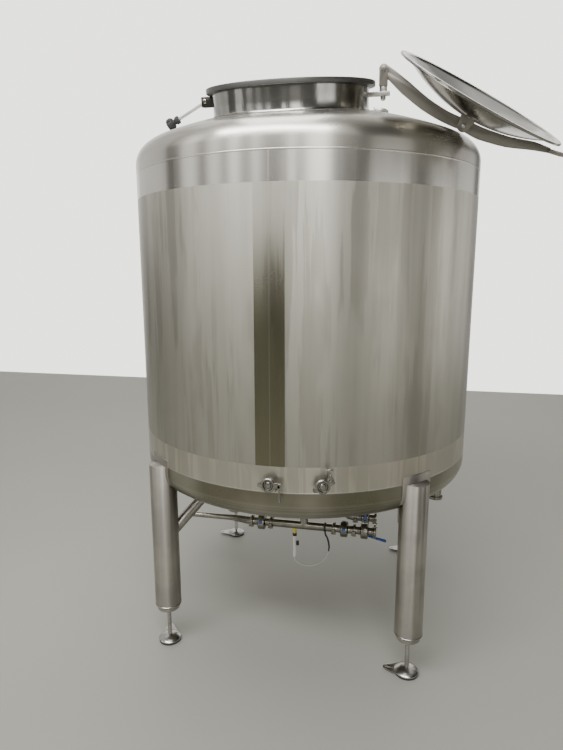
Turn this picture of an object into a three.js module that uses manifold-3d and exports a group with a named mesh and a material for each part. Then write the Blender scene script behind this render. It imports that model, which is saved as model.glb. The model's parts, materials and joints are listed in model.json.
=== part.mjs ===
// Upright stainless steel tank on four tubular legs, with an off-centre manway,
// a flip-over lid on a curved arm, and valved pipework under the bottom head.
// Millimetres, +Z up, +Y away from the manway side. The origin is on the floor,
// under the middle of the box around everything. Sizes are from the centre line.
import * as THREE from 'three';
import { mergeVertices } from 'three/addons/utils/BufferGeometryUtils.js';
import Module from 'manifold-3d';

const wasm = await Module();
wasm.setup();

const DEG = Math.PI / 180;
const GAP = 0.3;

// The frame's origin is under the middle of the box around everything, so the
// vessel's own centre line stands a little aside from it
const CENTRE_X = -127;
const CENTRE_Y = 22.5;

// Vessel
const SHELL_RADIUS = 753;
const WALL = 3;
const SHELL_BOTTOM = 846;
const SHELL_HEIGHT = 1200;
const SHELL_TOP = SHELL_BOTTOM + SHELL_HEIGHT;
const PLATES = 6;
const PLATE_STEPS = 8;
const SIDES = PLATES * PLATE_STEPS;
const FLANGE = 38;
const KNUCKLE = 90;
const CROWN_TOP = 1800;
const CROWN_BOTTOM = 1500;
const KNUCKLE_STEPS = 4;
const CROWN_STEPS = 5;
const OUTLET = 25.4;
const SIDE_NOZZLE = [630, -170];
const SIDE_NOZZLE_LOW = 636;
const SIDE_CAP = 32;
const VENT = [325, 0];
const VENT_RISE = 50;

// Manway: its axis stands square on the top head, towards -Y
const MANWAY_OFFSET = 362;
const MANWAY_TILT = Math.asin(MANWAY_OFFSET / CROWN_TOP);
const NECK_INNER = 295;
const NECK_OUTER = 299;
const RIM_OUTER = 322.5;
const RIM_TOP = 73;
const RIM_HEIGHT = 17;
const RING_SIDES = 40;

// Lid, measured from its pin, with the dish below it when shut
const LID_RADIUS = 330;
const LID_CROWN = 640;
const LID_WALL = 2.5;
const LID_CROWN_EDGE = 300;
const LID_CROWN_DROP = 28;
const LID_PIN_HEIGHT = 108;
const LID_SEAT_GAP = 6;
const LID_FLANGE = 4;
const LID_LIP = 4;
const LID_STEPS = 5;
const LID_LUG_HALF = 31;
const LID_LUG_SLOT = 5;
const LID_LUG_CHEEK = 7;
const LID_RIM_HEIGHT = 8;
const LID_OPEN_TURN = 210 * DEG;
const LID_OPEN_LEAN = -9.2 * DEG;

// Lid arm and its hinge, in the plane through the manway axis
const HINGE_X = 352;
const HINGE_Z = 110;
const ARM_OPEN = -34.6 * DEG;
const ARM_THICKNESS = 12;
const PIN_SHUT_Z = RIM_TOP + LID_SEAT_GAP + LID_PIN_HEIGHT;
const ARM_SHUT = Math.atan2(PIN_SHUT_Z - HINGE_Z, -HINGE_X);
const ARM_SWING = ARM_SHUT - ARM_OPEN;
const PIN_REACH = Math.hypot(HINGE_X, PIN_SHUT_Z - HINGE_Z);
const HINGE_PIN = 6;
const LID_PIN = 5;
const LID_PIN_SLACK = 1.7;
const PIN_CLEARANCE = 0.5;
const BRACKET_LOW = 20;
const BRACKET_HIGH = 34;
const BRACKET_END = 376;
const BRACKET_WIDTH = 58;
const STUD = 6;
const STUD_HEAD = 10;
const STUD_NUT = 14;
const STUD_SIDES = 12;
const CLEVIS_WIDTH = 31;
const CLEVIS_BASE = 53;
const CLEVIS_FLOOR = 63;
const CHEEK = 8;
const CHEEK_GAP = ARM_THICKNESS / 2 + 1.5;
const ARM_EYE = 17;
const PIN_SIDES = 16;

// Swing bolt on the far side of the manway
const BOLT_X = -342;
const BOLT_Z = 40;
const BOLT_REST = 205.5 * DEG;
const BOLT_SHUT = 94 * DEG;
const BOLT_RADIUS = 6;
const BOLT_PIN = 5;
const FORK_HEIGHT = 123;
const FORK_THICKNESS = 14;
const FORK_LENGTH = 58;
const FORK_WIDTH = 56;
const FORK_BACK = 34;
const BOLT_EYE = 13;
const BOLT_END = 182;
const LATCH_LOW = 18;
const LATCH_HALF = 17;
const LATCH_SLOT_HALF = 8;
const LATCH_LENGTH = 70;
const KNOB_COLLAR = 15.5;
const KNOB_WAIST = 11;
const KNOB_GRIP = 24;
const KNOB_FROM = FORK_HEIGHT + FORK_THICKNESS / 2 + 6;
const SCALLOPS = 5;

// Legs and feet
const LEG_CIRCLE = 743;
const LEG_RADIUS = 57.15;
const LEG_WALL = 4;
const LEG_BOTTOM = 164;
const LEG_CAP_HEIGHT = 25;
const LEG_CAP_LEAN = 9;
const LEG_CAP_WALL = 6;
const LEG_TOP = 842;
const LEG_SIDES = 20;
const PAD_TOP = 875;
const PAD_WIDTH = 150;
const PAD_THICKNESS = 4;
const PAD_WRAP = 2;
const SPINDLE_RADIUS = 9;
const FOOT_RADIUS = 50;
const FOOT_SIDES = 20;
const RUBBER_HEIGHT = 8;
const FOOT_HEIGHT = 30;
const FOOT_PLATE = 5;
const FOOT_EDGE = 4;
const EAR_REACH = 82;
const EAR_RADIUS = 15;
const EAR_HOLE = 5;
const LEGS = [
  { name: 'front_left', angle: -135, ear: 112 },
  { name: 'front_right', angle: -45, ear: 176 },
  { name: 'rear_right', angle: 45, ear: 186 },
  { name: 'rear_left', angle: 135, ear: 192 },
];

// Struts from the left legs to the bottom head
const BRACE_RADIUS = 24.15;
const BRACE_WALL = 3;
const BRACE_RISE = 40 * DEG;
const BRACE_LOW_REACH = 700;
const BRACE_LOW_Z = 528;
const BRACE_LENGTH = 215;

// Hygienic pipework
const PIPE_Z = 358;
const PIPE = 20.5;
const PIPE_WALL = 1.65;
const THIN_PIPE = 14.5;
const FERRULE = 25.25;
const CLAMP = 31;
const CLAMP_WIDTH = 14;
const CLAMP_REACH = 34;
const CHAMFER = 2.5;
const FERRULE_THICKNESS = 3;
const PIPE_SIDES = 16;
const CLAMP_SIDES = 16;
const VALVE_BODY = 40;
const VALVE_WIDTH = 36;
const VALVE_DISC = 5;
const VALVE_PITCH = 102;
const VALVE_1 = -222;
const VALVE_2 = 206;
const VALVE_3 = VALVE_2 + VALVE_PITCH;
const CLAMP_1A = VALVE_1 - VALVE_PITCH / 2;
const CLAMP_1B = VALVE_1 + VALVE_PITCH / 2;
const CLAMP_2A = VALVE_2 - VALVE_PITCH / 2;
const TEE_RISE = 62;
const REDUCER_LENGTH = 115;
const REDUCER_CONE = 92;
const THIN_END = -660;
const STEM_LEAN = 18 * DEG;
const LOW_STEM = 50 * DEG;
const STEM_PROUD = 6;
const STEM_RADIUS = 8;
const LEVER_LENGTH = 112;
const LEVER_THICKNESS = 6;
const LEVER_HUB = 13;
const LEVER_TIP = 7;
const SECOND_Y = 155;
const SECOND_X = 190;
const SECOND_BEND = 50;
const VALVE_4 = 303;
const DOWN = -Math.PI / 2;

// Blind connections low on the shell
const BLIND_Z = 887;
const BLIND_ANGLES = [-90, -75.5];
const BLIND_NECK = 15;
const BLIND_WALL = 1.5;
const BLIND_FERRULE = 22;
const BLIND_CLAMP = 28;
const BLIND_DISH = 6;
const BLIND_REACH = 37;

// Sensor under the main pipe, and the points of its cable
const PROBE_X = -49;
const PROBE_LOW = 176;
const PROBE_RADIUS = 8;
const PROBE_FITTING_LOW = 313;
const PROBE_COLLAR_LOW = 296;
const PROBE_COLLAR = 11;
const CABLE_RADIUS = 2.5;
const CABLE_CLIP_X = 109;
const CABLE_CLIP_LOW = 332;
const CABLE_ROUTE = [
  [PROBE_X, 0, PROBE_LOW - 1.2 * GAP], [PROBE_X, -1, 166], [PROBE_X + 9, -3, 155], [PROBE_X + 20, -5, 146],
  [-12, -7, 140], [8, -8, 137], [30, -8, 138], [52, -8, 143], [73, -8, 152], [93, -8, 166], [110, -7, 184],
  [122, -6, 206], [129, -5, 230], [131, -4, 255], [128, -3, 280], [121, -2, 301], [111, -0.5, 318],
  [CABLE_CLIP_X, 0, CABLE_CLIP_LOW - 0.8],
];

const steel = { brushed: 0xb4b1a9, polished: 0xc9c8c4, dark: 0x77736b };

function material(color, roughness, metalness) {
  return new THREE.MeshStandardMaterial({ color, roughness, metalness });
}

const brushed = () => material(steel.brushed, 0.42, 1.0);
const polished = () => material(steel.polished, 0.2, 1.0);
const cast = () => material(steel.dark, 0.5, 1.0);
const blackPlastic = () => material(0x1b1b1c, 0.5, 0.0);
const blackRubber = () => material(0x161616, 0.85, 0.0);
const bluePlastic = () => material(0x1c2f8c, 0.4, 0.0);

// One closed body with shared corners, no flat triangles, and its faces outward
function closed(source) {
  const bare = source.index ? source.toNonIndexed() : source.clone();
  bare.deleteAttribute('normal');
  bare.deleteAttribute('uv');
  const merged = mergeVertices(bare, 1e-3);
  const index = merged.index.array;
  const at = merged.getAttribute('position');
  const kept = [];
  let volume = 0;
  const a = new THREE.Vector3();
  const b = new THREE.Vector3();
  const c = new THREE.Vector3();
  for (let i = 0; i < index.length; i += 3) {
    const [p, q, r] = [index[i], index[i + 1], index[i + 2]];
    if (p === q || q === r || r === p) continue;
    a.fromBufferAttribute(at, p);
    b.fromBufferAttribute(at, q);
    c.fromBufferAttribute(at, r);
    volume += a.dot(b.cross(c));
    kept.push([p, q, r]);
  }
  if (volume < 0) kept.forEach((face) => face.reverse());
  merged.setIndex(kept.flat());
  return merged;
}

function toManifold(source) {
  const geometry = closed(source);
  const mesh = new wasm.Mesh({
    numProp: 3,
    vertProperties: new Float32Array(geometry.getAttribute('position').array),
    triVerts: new Uint32Array(geometry.index.array),
  });
  return new wasm.Manifold(mesh);
}

function fromManifold(solid) {
  const mesh = solid.getMesh();
  const geometry = new THREE.BufferGeometry();
  geometry.setAttribute('position', new THREE.BufferAttribute(new Float32Array(mesh.vertProperties), 3));
  geometry.setIndex(new THREE.BufferAttribute(new Uint32Array(mesh.triVerts), 1));
  return geometry;
}

// The first geometries joined, less the second ones
function carve(parts, cuts = []) {
  let solid = toManifold(parts[0]);
  for (const part of parts.slice(1)) solid = solid.add(toManifold(part));
  for (const cut of cuts) solid = solid.subtract(toManifold(cut));
  return fromManifold(solid);
}

function common(first, second) {
  return fromManifold(toManifold(first).intersect(toManifold(second)));
}

// A solid turned about Z from [radius, height] corners
function turned(corners, sides) {
  const points = corners.map(([r, z]) => new THREE.Vector2(r, z));
  if (corners[0][0] > 0) points.push(points[0].clone());
  return closed(new THREE.LatheGeometry(points, sides).rotateX(Math.PI / 2));
}

function rod(radius, from, to, sides) {
  return turned([[0, from], [radius, from], [radius, to], [0, to]], sides);
}

function tube(outer, inner, from, to, sides) {
  return turned([[inner, from], [outer, from], [outer, to], [inner, to]], sides);
}

function box(width, depth, height, x, y, z) {
  return new THREE.BoxGeometry(width, depth, height).translate(x, y, z);
}

// A flat outline in X and Z, thickened evenly about Y
function upright(shape, thickness, steps) {
  const geometry = new THREE.ExtrudeGeometry(shape, {
    depth: thickness, bevelEnabled: false, curveSegments: steps,
  });
  return geometry.rotateX(Math.PI / 2).translate(0, thickness / 2, 0);
}

// The same, with the outline in X and Y, from one height up to another
function flat(shape, from, to, steps) {
  const geometry = new THREE.ExtrudeGeometry(shape, {
    depth: to - from, bevelEnabled: false, curveSegments: steps,
  });
  return geometry.translate(0, 0, from);
}

function along(geometry, axis) {
  if (axis === 'x') return geometry.rotateY(Math.PI / 2);
  if (axis === 'y') return geometry.rotateX(-Math.PI / 2);
  return geometry;
}

const tank = new THREE.Group();
tank.position.set(CENTRE_X, CENTRE_Y, 0);

function place(parent, name, geometry, look) {
  const mesh = new THREE.Mesh(closed(geometry), look);
  mesh.name = name;
  parent.add(mesh);
  return mesh;
}

// Outline of a dished head from its seam to its centre or to a hole, as offset
// from the outer surface, and how far the crown's centre lies from the knuckle's
function crownDrop(crown) {
  return Math.sqrt((crown - KNUCKLE) ** 2 - (SHELL_RADIUS - KNUCKLE) ** 2);
}

function headOutline(crown, offset, hole = 0) {
  const centre = SHELL_RADIUS - KNUCKLE;
  const drop = crownDrop(crown);
  const turn = Math.atan2(drop, centre);
  const corners = [[SHELL_RADIUS + offset, 0]];
  for (let i = 0; i <= KNUCKLE_STEPS; i += 1) {
    const a = (turn * i) / KNUCKLE_STEPS;
    const radius = KNUCKLE + offset;
    corners.push([centre + radius * Math.cos(a), FLANGE + radius * Math.sin(a)]);
  }
  const last = Math.acos(hole / (crown + offset));
  for (let i = 1; i <= CROWN_STEPS; i += 1) {
    const a = turn + ((last - turn) * i) / CROWN_STEPS;
    const radius = hole > 0 || i < CROWN_STEPS ? (crown + offset) * Math.cos(a) : 0;
    corners.push([radius, FLANGE - drop + (crown + offset) * Math.sin(a)]);
  }
  return corners;
}

function headHeight(crown, radius) {
  return FLANGE - crownDrop(crown) + Math.sqrt(crown ** 2 - radius ** 2);
}

function head(crown, hole = 0) {
  return [...headOutline(crown, 0, hole), ...headOutline(crown, -WALL, hole).reverse()];
}

const flip = ([r, z]) => [r, -z];

// Everything inside the outer surface, grown by an offset, to cut the legs with
function vesselSolid(offset) {
  const lower = headOutline(CROWN_BOTTOM, offset).map(flip).reverse();
  const corners = lower.map(([r, z]) => [r, z + SHELL_BOTTOM]);
  corners.push([SHELL_RADIUS + offset, PAD_TOP + 200], [0, PAD_TOP + 200]);
  return turned(corners, SIDES);
}

// Shell
function shellPlate(k) {
  const from = (-90 + (360 / PLATES) * k) * DEG;
  const to = (-90 + (360 / PLATES) * (k + 1)) * DEG;
  const shape = new THREE.Shape();
  shape.absarc(0, 0, SHELL_RADIUS, from, to, false);
  shape.absarc(0, 0, SHELL_RADIUS - WALL, to, from, true);
  return flat(shape, SHELL_BOTTOM, SHELL_TOP, PLATE_STEPS / 2);
}

function blindBore(angle, radius) {
  const bore = along(rod(radius, SHELL_RADIUS - 40, SHELL_RADIUS + 10, 16), 'x');
  return bore.rotateZ(angle * DEG).translate(0, 0, BLIND_Z);
}

for (let k = 0; k < PLATES; k += 1) {
  const plate = shellPlate(k);
  const bores = BLIND_ANGLES.map((angle) => blindBore(angle, BLIND_NECK - BLIND_WALL));
  const pierced = k === 0 || k === PLATES - 1;
  place(tank, `shell_plate_${k + 1}`, pierced ? carve([plate], bores) : plate, brushed());
}

// Heads
function drop(radius, [x, y], z) {
  return rod(radius, z - 200, z + 200, PIPE_SIDES).translate(x, y, 0);
}

const bottomHead = turned(head(CROWN_BOTTOM, OUTLET - PIPE_WALL).map(flip), SIDES);
bottomHead.translate(0, 0, SHELL_BOTTOM);
place(tank, 'bottom_head', carve([bottomHead], [
  drop(PIPE - PIPE_WALL, [SECOND_X, SECOND_Y], SHELL_BOTTOM - 200),
  drop(OUTLET - PIPE_WALL, SIDE_NOZZLE, SHELL_BOTTOM - 150),
]), brushed());

const manway = new THREE.Group();
manway.position.set(0, -MANWAY_OFFSET, SHELL_TOP + headHeight(CROWN_TOP, MANWAY_OFFSET));
manway.rotation.x = MANWAY_TILT;
manway.updateMatrix();
tank.add(manway);

const manwayBore = rod(NECK_INNER, -150, 100, RING_SIDES).applyMatrix4(manway.matrix);
const topHead = turned(head(CROWN_TOP), SIDES).translate(0, 0, SHELL_TOP);
place(tank, 'top_head', carve([topHead], [
  manwayBore,
  drop(PIPE - PIPE_WALL, VENT, SHELL_TOP + 200),
]), brushed());

// Manway neck and rim
const domeInManway = turned([...headOutline(CROWN_TOP, GAP).reverse(), [0, 0]], SIDES)
  .translate(0, 0, SHELL_TOP).applyMatrix4(manway.matrix.clone().invert());
place(manway, 'manway_neck', carve([
  tube(NECK_OUTER, NECK_INNER, -60, RIM_TOP - RIM_HEIGHT - GAP, RING_SIDES),
], [domeInManway]), polished());
place(manway, 'manway_rim', turned([
  [NECK_INNER, RIM_TOP - RIM_HEIGHT], [RIM_OUTER, RIM_TOP - RIM_HEIGHT],
  [RIM_OUTER, RIM_TOP - 2], [RIM_OUTER - 2, RIM_TOP], [NECK_INNER, RIM_TOP],
], RING_SIDES), brushed());

// Hinge bracket, stud and clevis
const neckClear = rod(NECK_OUTER + GAP, -100, 100, RING_SIDES);
const bracketLength = BRACKET_END - NECK_OUTER + 30;
place(manway, 'hinge_bracket', carve([
  box(bracketLength, BRACKET_WIDTH, BRACKET_HIGH - BRACKET_LOW,
    BRACKET_END - bracketLength / 2, 0, (BRACKET_LOW + BRACKET_HIGH) / 2),
], [
  neckClear,
  rod(STUD + GAP, 0, 60, STUD_SIDES).translate(HINGE_X, 0, 0),
]), brushed());
place(manway, 'hinge_stud', turned([
  [0, 3], [5, 4], [9, 8], [STUD_HEAD, 12], [STUD_HEAD, BRACKET_LOW - GAP], [STUD, BRACKET_LOW - GAP],
  [STUD, BRACKET_HIGH + GAP], [STUD_NUT, BRACKET_HIGH + GAP], [STUD_NUT, CLEVIS_BASE - GAP],
  [0, CLEVIS_BASE - GAP],
], STUD_SIDES).translate(HINGE_X, 0, 0), polished());

// Two hexagons on a pin along Y, one at each end
function hexNuts(radius, from, to) {
  return [0, Math.PI].map((turn) => along(rod(radius, from, to, 6), 'y').rotateZ(turn));
}

function clevis() {
  const outer = CHEEK_GAP + CHEEK;
  const cheek = new THREE.Shape();
  cheek.moveTo(HINGE_X - CLEVIS_WIDTH / 2, CLEVIS_BASE);
  cheek.lineTo(HINGE_X + CLEVIS_WIDTH / 2, CLEVIS_BASE);
  cheek.lineTo(HINGE_X + CLEVIS_WIDTH / 2, HINGE_Z);
  cheek.absarc(HINGE_X, HINGE_Z, CLEVIS_WIDTH / 2, 0, Math.PI, false);
  const block = upright(cheek, 2 * outer, 4);
  const slot = box(80, 2 * CHEEK_GAP, 100, HINGE_X, 0, CLEVIS_FLOOR + 50);
  const pin = along(rod(HINGE_PIN, -outer - 5, outer + 5, PIN_SIDES), 'y').translate(HINGE_X, 0, HINGE_Z);
  const nuts = hexNuts(10, outer - 0.5, outer + 7).map((nut) => nut.translate(HINGE_X, 0, HINGE_Z));
  const open = carve([block], [slot]);
  return carve([open, pin, ...nuts]);
}
place(manway, 'hinge_clevis', clevis(), cast());

// Lid arm: a curved plate on edge, wide at the lid's pin, with a slotted end
const lidPin = [
  HINGE_X + PIN_REACH * Math.cos(ARM_OPEN),
  HINGE_Z + PIN_REACH * Math.sin(ARM_OPEN),
];

function swungOpen(x, z) {
  const dx = x - HINGE_X;
  const dz = z - HINGE_Z;
  const c = Math.cos(-ARM_SWING);
  const s = Math.sin(-ARM_SWING);
  return [HINGE_X + c * dx - s * dz, HINGE_Z + s * dx + c * dz];
}

const forkShut = [
  BOLT_X + FORK_HEIGHT * Math.cos(BOLT_SHUT),
  BOLT_Z + FORK_HEIGHT * Math.sin(BOLT_SHUT),
];
const forkOpen = swungOpen(...forkShut);

function armOutline() {
  // Centre line, with the width on the lid's side of it and on the other side
  const stations = [
    [HINGE_X, HINGE_Z, ARM_EYE, ARM_EYE], [384, 85, 19, 19], [434, 43, 22, 24], [505, -13, 20, 24],
    [579, -61, 20, 21], [lidPin[0], lidPin[1], 21, 19], [709, -122, 18.5, 25], [808, -156, 16, 22],
    [900, -177, 15, 15], [957, -195, 9, 9],
  ];
  const centre = new THREE.CatmullRomCurve3(stations.map(([x, z]) => new THREE.Vector3(x, z, 0)));
  const steps = 3 * (stations.length - 1);
  const upper = [];
  const lower = [];
  for (let i = 0; i <= steps; i += 1) {
    const t = i / steps;
    const at = centre.getPoint(t);
    const way = centre.getTangent(t);
    const span = Math.min(Math.floor(i / 3), stations.length - 2);
    const mix = i / 3 - span;
    const [up, down] = [2, 3].map((k) => stations[span][k] * (1 - mix) + stations[span + 1][k] * mix);
    upper.push(new THREE.Vector2(at.x - way.y * up, at.y + way.x * up));
    lower.push(new THREE.Vector2(at.x + way.y * down, at.y - way.x * down));
  }
  const start = Math.atan2(upper[0].y - HINGE_Z, upper[0].x - HINGE_X);
  const eye = [];
  for (let i = 1; i < 8; i += 1) {
    const a = start + (Math.PI * i) / 8;
    eye.push(new THREE.Vector2(HINGE_X + ARM_EYE * Math.cos(a), HINGE_Z + ARM_EYE * Math.sin(a)));
  }
  return new THREE.Shape([...lower, ...upper.reverse(), ...eye]);
}

function forkEnd() {
  const end = FORK_LENGTH - FORK_BACK;
  const slot = BOLT_RADIUS + 5;
  const shape = new THREE.Shape();
  shape.moveTo(-FORK_BACK, -FORK_WIDTH / 2);
  shape.lineTo(end, -FORK_WIDTH / 2);
  shape.lineTo(end, -slot);
  shape.lineTo(0, -slot);
  shape.absarc(0, 0, slot, -Math.PI / 2, Math.PI / 2, true);
  shape.lineTo(end, slot);
  shape.lineTo(end, FORK_WIDTH / 2);
  shape.lineTo(-FORK_BACK, FORK_WIDTH / 2);
  return flat(shape, -FORK_THICKNESS / 2, FORK_THICKNESS / 2, 4)
    .rotateY(-(BOLT_SHUT + Math.PI / 2 - ARM_SWING))
    .translate(forkOpen[0], 0, forkOpen[1]);
}

function pinHole(radius, [x, z], depth) {
  return along(rod(radius, -depth, depth, PIN_SIDES), 'y').translate(x, 0, z);
}

place(manway, 'lid_arm', carve([
  carve([upright(armOutline(), ARM_THICKNESS, 1)], [
    pinHole(HINGE_PIN + PIN_CLEARANCE, [HINGE_X, HINGE_Z], 30),
    pinHole(LID_PIN + LID_PIN_SLACK, lidPin, 30),
  ]),
  forkEnd(),
]), cast());

// Lid, in a group at its pin: it hangs loose there, so the open lid leans to its low side
const lid = new THREE.Group();
lid.position.set(lidPin[0], 0, lidPin[1]);
lid.rotation.set(LID_OPEN_LEAN, LID_OPEN_TURN, 0, 'YXZ');
manway.add(lid);

function lidDish() {
  const outer = [];
  const inner = [];
  const centre = -LID_CROWN_DROP - LID_CROWN;
  const edge = Math.asin(LID_CROWN_EDGE / LID_CROWN);
  for (let i = 0; i <= LID_STEPS; i += 1) {
    const a = (edge * i) / LID_STEPS;
    outer.push([LID_CROWN * Math.sin(a), centre + LID_CROWN * Math.cos(a)]);
    const innerRadius = LID_CROWN - LID_WALL;
    inner.push([innerRadius * Math.sin(a), centre + innerRadius * Math.cos(a)]);
  }
  const low = -LID_PIN_HEIGHT;
  const under = low + LID_RIM_HEIGHT - LID_FLANGE;
  return turned([
    ...outer,
    [LID_CROWN_EDGE + 6, low + LID_RIM_HEIGHT], [LID_RADIUS, low + LID_RIM_HEIGHT], [LID_RADIUS, low],
    [LID_RADIUS - LID_LIP, low], [LID_RADIUS - LID_LIP, under], [LID_CROWN_EDGE + 5, under],
    [LID_CROWN_EDGE + 5, low], [LID_CROWN_EDGE + 1, low],
    ...inner.reverse(),
  ], RING_SIDES);
}
place(lid, 'lid_dish', lidDish(), polished());
const sealTop = -LID_PIN_HEIGHT + LID_RIM_HEIGHT - LID_FLANGE - GAP;
place(lid, 'lid_seal', tube(LID_RADIUS - LID_LIP - GAP, LID_CROWN_EDGE + 5 + GAP,
  -LID_PIN_HEIGHT + 0.5, sealTop, RING_SIDES), material(0xd9d6cc, 0.7, 0));

function lidLug() {
  const round = 0.75 * LID_LUG_HALF;
  const gap = ARM_THICKNESS / 2 + LID_LUG_SLOT;
  const outer = gap + LID_LUG_CHEEK;
  const cheek = new THREE.Shape();
  cheek.moveTo(-LID_LUG_HALF, -40);
  cheek.lineTo(LID_LUG_HALF, -40);
  cheek.lineTo(round, 0);
  cheek.absarc(0, 0, round, 0, Math.PI, false);
  const block = upright(cheek, 2 * outer, 4);
  const slot = box(120, 2 * gap, 120, 0, 0, 60 - LID_CROWN_DROP + LID_WALL - 6);
  const dish = new THREE.SphereGeometry(LID_CROWN + GAP, 128, 96).translate(0, 0, -LID_CROWN_DROP - LID_CROWN);
  const pin = along(rod(LID_PIN, -outer - 7, outer + 7, PIN_SIDES), 'y');
  return carve([carve([block], [slot, dish]), pin, ...hexNuts(9, outer - 0.5, outer + 6)]);
}
place(lid, 'lid_lug', lidLug(), cast());

// Latch lug on the neck, with the pin that the swing bolt turns on
function latchLug() {
  const high = RIM_TOP - RIM_HEIGHT - GAP;
  const ears = box(LATCH_LENGTH, 2 * LATCH_HALF, high - LATCH_LOW,
    BOLT_X - 15 + LATCH_LENGTH / 2, 0, (high + LATCH_LOW) / 2);
  const slot = box(60, 2 * LATCH_SLOT_HALF, 100, BOLT_X - 4, 0, 30);
  const reach = LATCH_HALF + 6;
  const pin = along(rod(BOLT_PIN, -reach, reach, PIN_SIDES), 'y').translate(BOLT_X, 0, BOLT_Z);
  return carve([carve([ears], [slot, neckClear]), pin]);
}
place(manway, 'latch_lug', latchLug(), brushed());

// Swing bolt and its hand knob, in a group whose Z runs along the bolt
const swing = new THREE.Group();
swing.position.set(BOLT_X, 0, BOLT_Z);
swing.rotation.y = Math.PI / 2 - BOLT_REST;
manway.add(swing);
place(swing, 'swing_bolt', carve([
  along(rod(BOLT_EYE, -6, 6, PIN_SIDES), 'y'),
  rod(BOLT_RADIUS, 4, BOLT_END, PIN_SIDES),
], [
  along(rod(BOLT_PIN + PIN_CLEARANCE, -20, 20, PIN_SIDES), 'y'),
]), polished());

function knob() {
  const bore = BOLT_RADIUS + GAP;
  const body = turned([
    [bore, KNOB_FROM], [KNOB_COLLAR, KNOB_FROM], [KNOB_COLLAR, KNOB_FROM + 12], [KNOB_WAIST, KNOB_FROM + 16],
    [KNOB_WAIST, KNOB_FROM + 24], [KNOB_GRIP - 4, KNOB_FROM + 27], [KNOB_GRIP, KNOB_FROM + 32],
    [KNOB_GRIP, KNOB_FROM + 46], [KNOB_GRIP - 4, KNOB_FROM + 51], [0, KNOB_FROM + 53],
    [0, BOLT_END + 2], [bore, BOLT_END + 2],
  ], 20);
  const scallops = [];
  for (let i = 0; i < SCALLOPS; i += 1) {
    const a = (2 * Math.PI * i) / SCALLOPS;
    const reach = KNOB_GRIP + 5;
    scallops.push(rod(9, KNOB_FROM + 22, KNOB_FROM + 60, 8)
      .translate(reach * Math.cos(a), reach * Math.sin(a), 0));
  }
  return carve([body], scallops);
}
place(swing, 'hand_knob', knob(), blackPlastic());

// Legs: a tube coped to the head, its weld pad, top plate and end cap
function legTube() {
  const capLow = LEG_BOTTOM;
  const capHigh = LEG_BOTTOM + LEG_CAP_HEIGHT;
  const inner = LEG_RADIUS - LEG_WALL;
  return turned([
    [SPINDLE_RADIUS + GAP, capLow], [LEG_RADIUS - LEG_CAP_LEAN, capLow], [LEG_RADIUS, capHigh],
    [LEG_RADIUS, LEG_TOP], [0, LEG_TOP], [0, LEG_TOP - LEG_WALL], [inner, LEG_TOP - LEG_WALL],
    [inner, capHigh], [inner - LEG_CAP_LEAN, capLow + LEG_CAP_WALL],
    [SPINDLE_RADIUS + GAP, capLow + LEG_CAP_WALL],
  ], LEG_SIDES);
}

function weldPad() {
  const path = [];
  const back = [];
  for (const [offset, list] of [[GAP, back], [GAP + PAD_THICKNESS, path]]) {
    list.push([SHELL_RADIUS + offset, PAD_TOP]);
    const outline = headOutline(CROWN_BOTTOM, offset).map(flip);
    outline.slice(1, 2 + PAD_WRAP).forEach(([r, z]) => list.push([r, z + SHELL_BOTTOM]));
  }
  const ring = turned([...path, ...back.reverse()], SIDES);
  const window = box(SHELL_RADIUS, PAD_WIDTH, 600, SHELL_RADIUS, 0, SHELL_BOTTOM);
  return common(ring, window);
}

const legBody = legTube().translate(LEG_CIRCLE, 0, 0);
const weldPadBody = weldPad();
const legGeometry = carve([
  carve([legBody], [vesselSolid(GAP + PAD_THICKNESS - 0.05)]),
  weldPadBody,
]);

function foot(ear) {
  const disc = turned([
    [0, RUBBER_HEIGHT], [FOOT_RADIUS, RUBBER_HEIGHT], [FOOT_RADIUS, RUBBER_HEIGHT + FOOT_PLATE],
    [FOOT_RADIUS - 8, RUBBER_HEIGHT + 11], [30, FOOT_HEIGHT - 5], [14, FOOT_HEIGHT],
    [SPINDLE_RADIUS, FOOT_HEIGHT], [SPINDLE_RADIUS, LEG_BOTTOM + 60], [0, LEG_BOTTOM + 60],
  ], FOOT_SIDES);
  const shape = new THREE.Shape();
  const lean = Math.acos((FOOT_RADIUS - FOOT_EDGE - EAR_RADIUS) / EAR_REACH);
  shape.absarc(0, 0, FOOT_RADIUS - FOOT_EDGE, lean, 2 * Math.PI - lean, false);
  shape.absarc(EAR_REACH, 0, EAR_RADIUS, -lean, lean, false);
  const plate = flat(shape, RUBBER_HEIGHT, RUBBER_HEIGHT + FOOT_PLATE, 5).rotateZ(ear);
  const hole = rod(EAR_HOLE, 0, 40, 12).translate(EAR_REACH, 0, 0).rotateZ(ear);
  return carve([disc, plate], [hole]);
}

for (const { name, angle, ear } of LEGS) {
  const a = angle * DEG;
  const stand = new THREE.Group();
  stand.position.set(LEG_CIRCLE * Math.cos(a), LEG_CIRCLE * Math.sin(a), 0);
  tank.add(stand);
  place(tank, `leg_${name}`, legGeometry.clone().rotateZ(a), brushed());
  place(stand, `foot_${name}`, foot(ear * DEG), polished());
  place(stand, `foot_pad_${name}`, rod(FOOT_RADIUS - 1, 0, RUBBER_HEIGHT, FOOT_SIDES), blackRubber());
}

// Struts of the two left legs, coped to the leg and to the head
function brace(angle) {
  const strut = along(tube(BRACE_RADIUS, BRACE_RADIUS - BRACE_WALL, 0, BRACE_LENGTH, 16), 'x')
    .rotateY(Math.PI + BRACE_RISE)
    .translate(BRACE_LOW_REACH, 0, BRACE_LOW_Z);
  const leg = rod(LEG_RADIUS + GAP, 200, 800, LEG_SIDES).translate(LEG_CIRCLE, 0, 0);
  return carve([strut], [leg, vesselSolid(GAP)]).rotateZ(angle * DEG);
}
place(tank, 'brace_front_left', brace(-135), brushed());
place(tank, 'brace_rear_left', brace(135), brushed());

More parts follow.
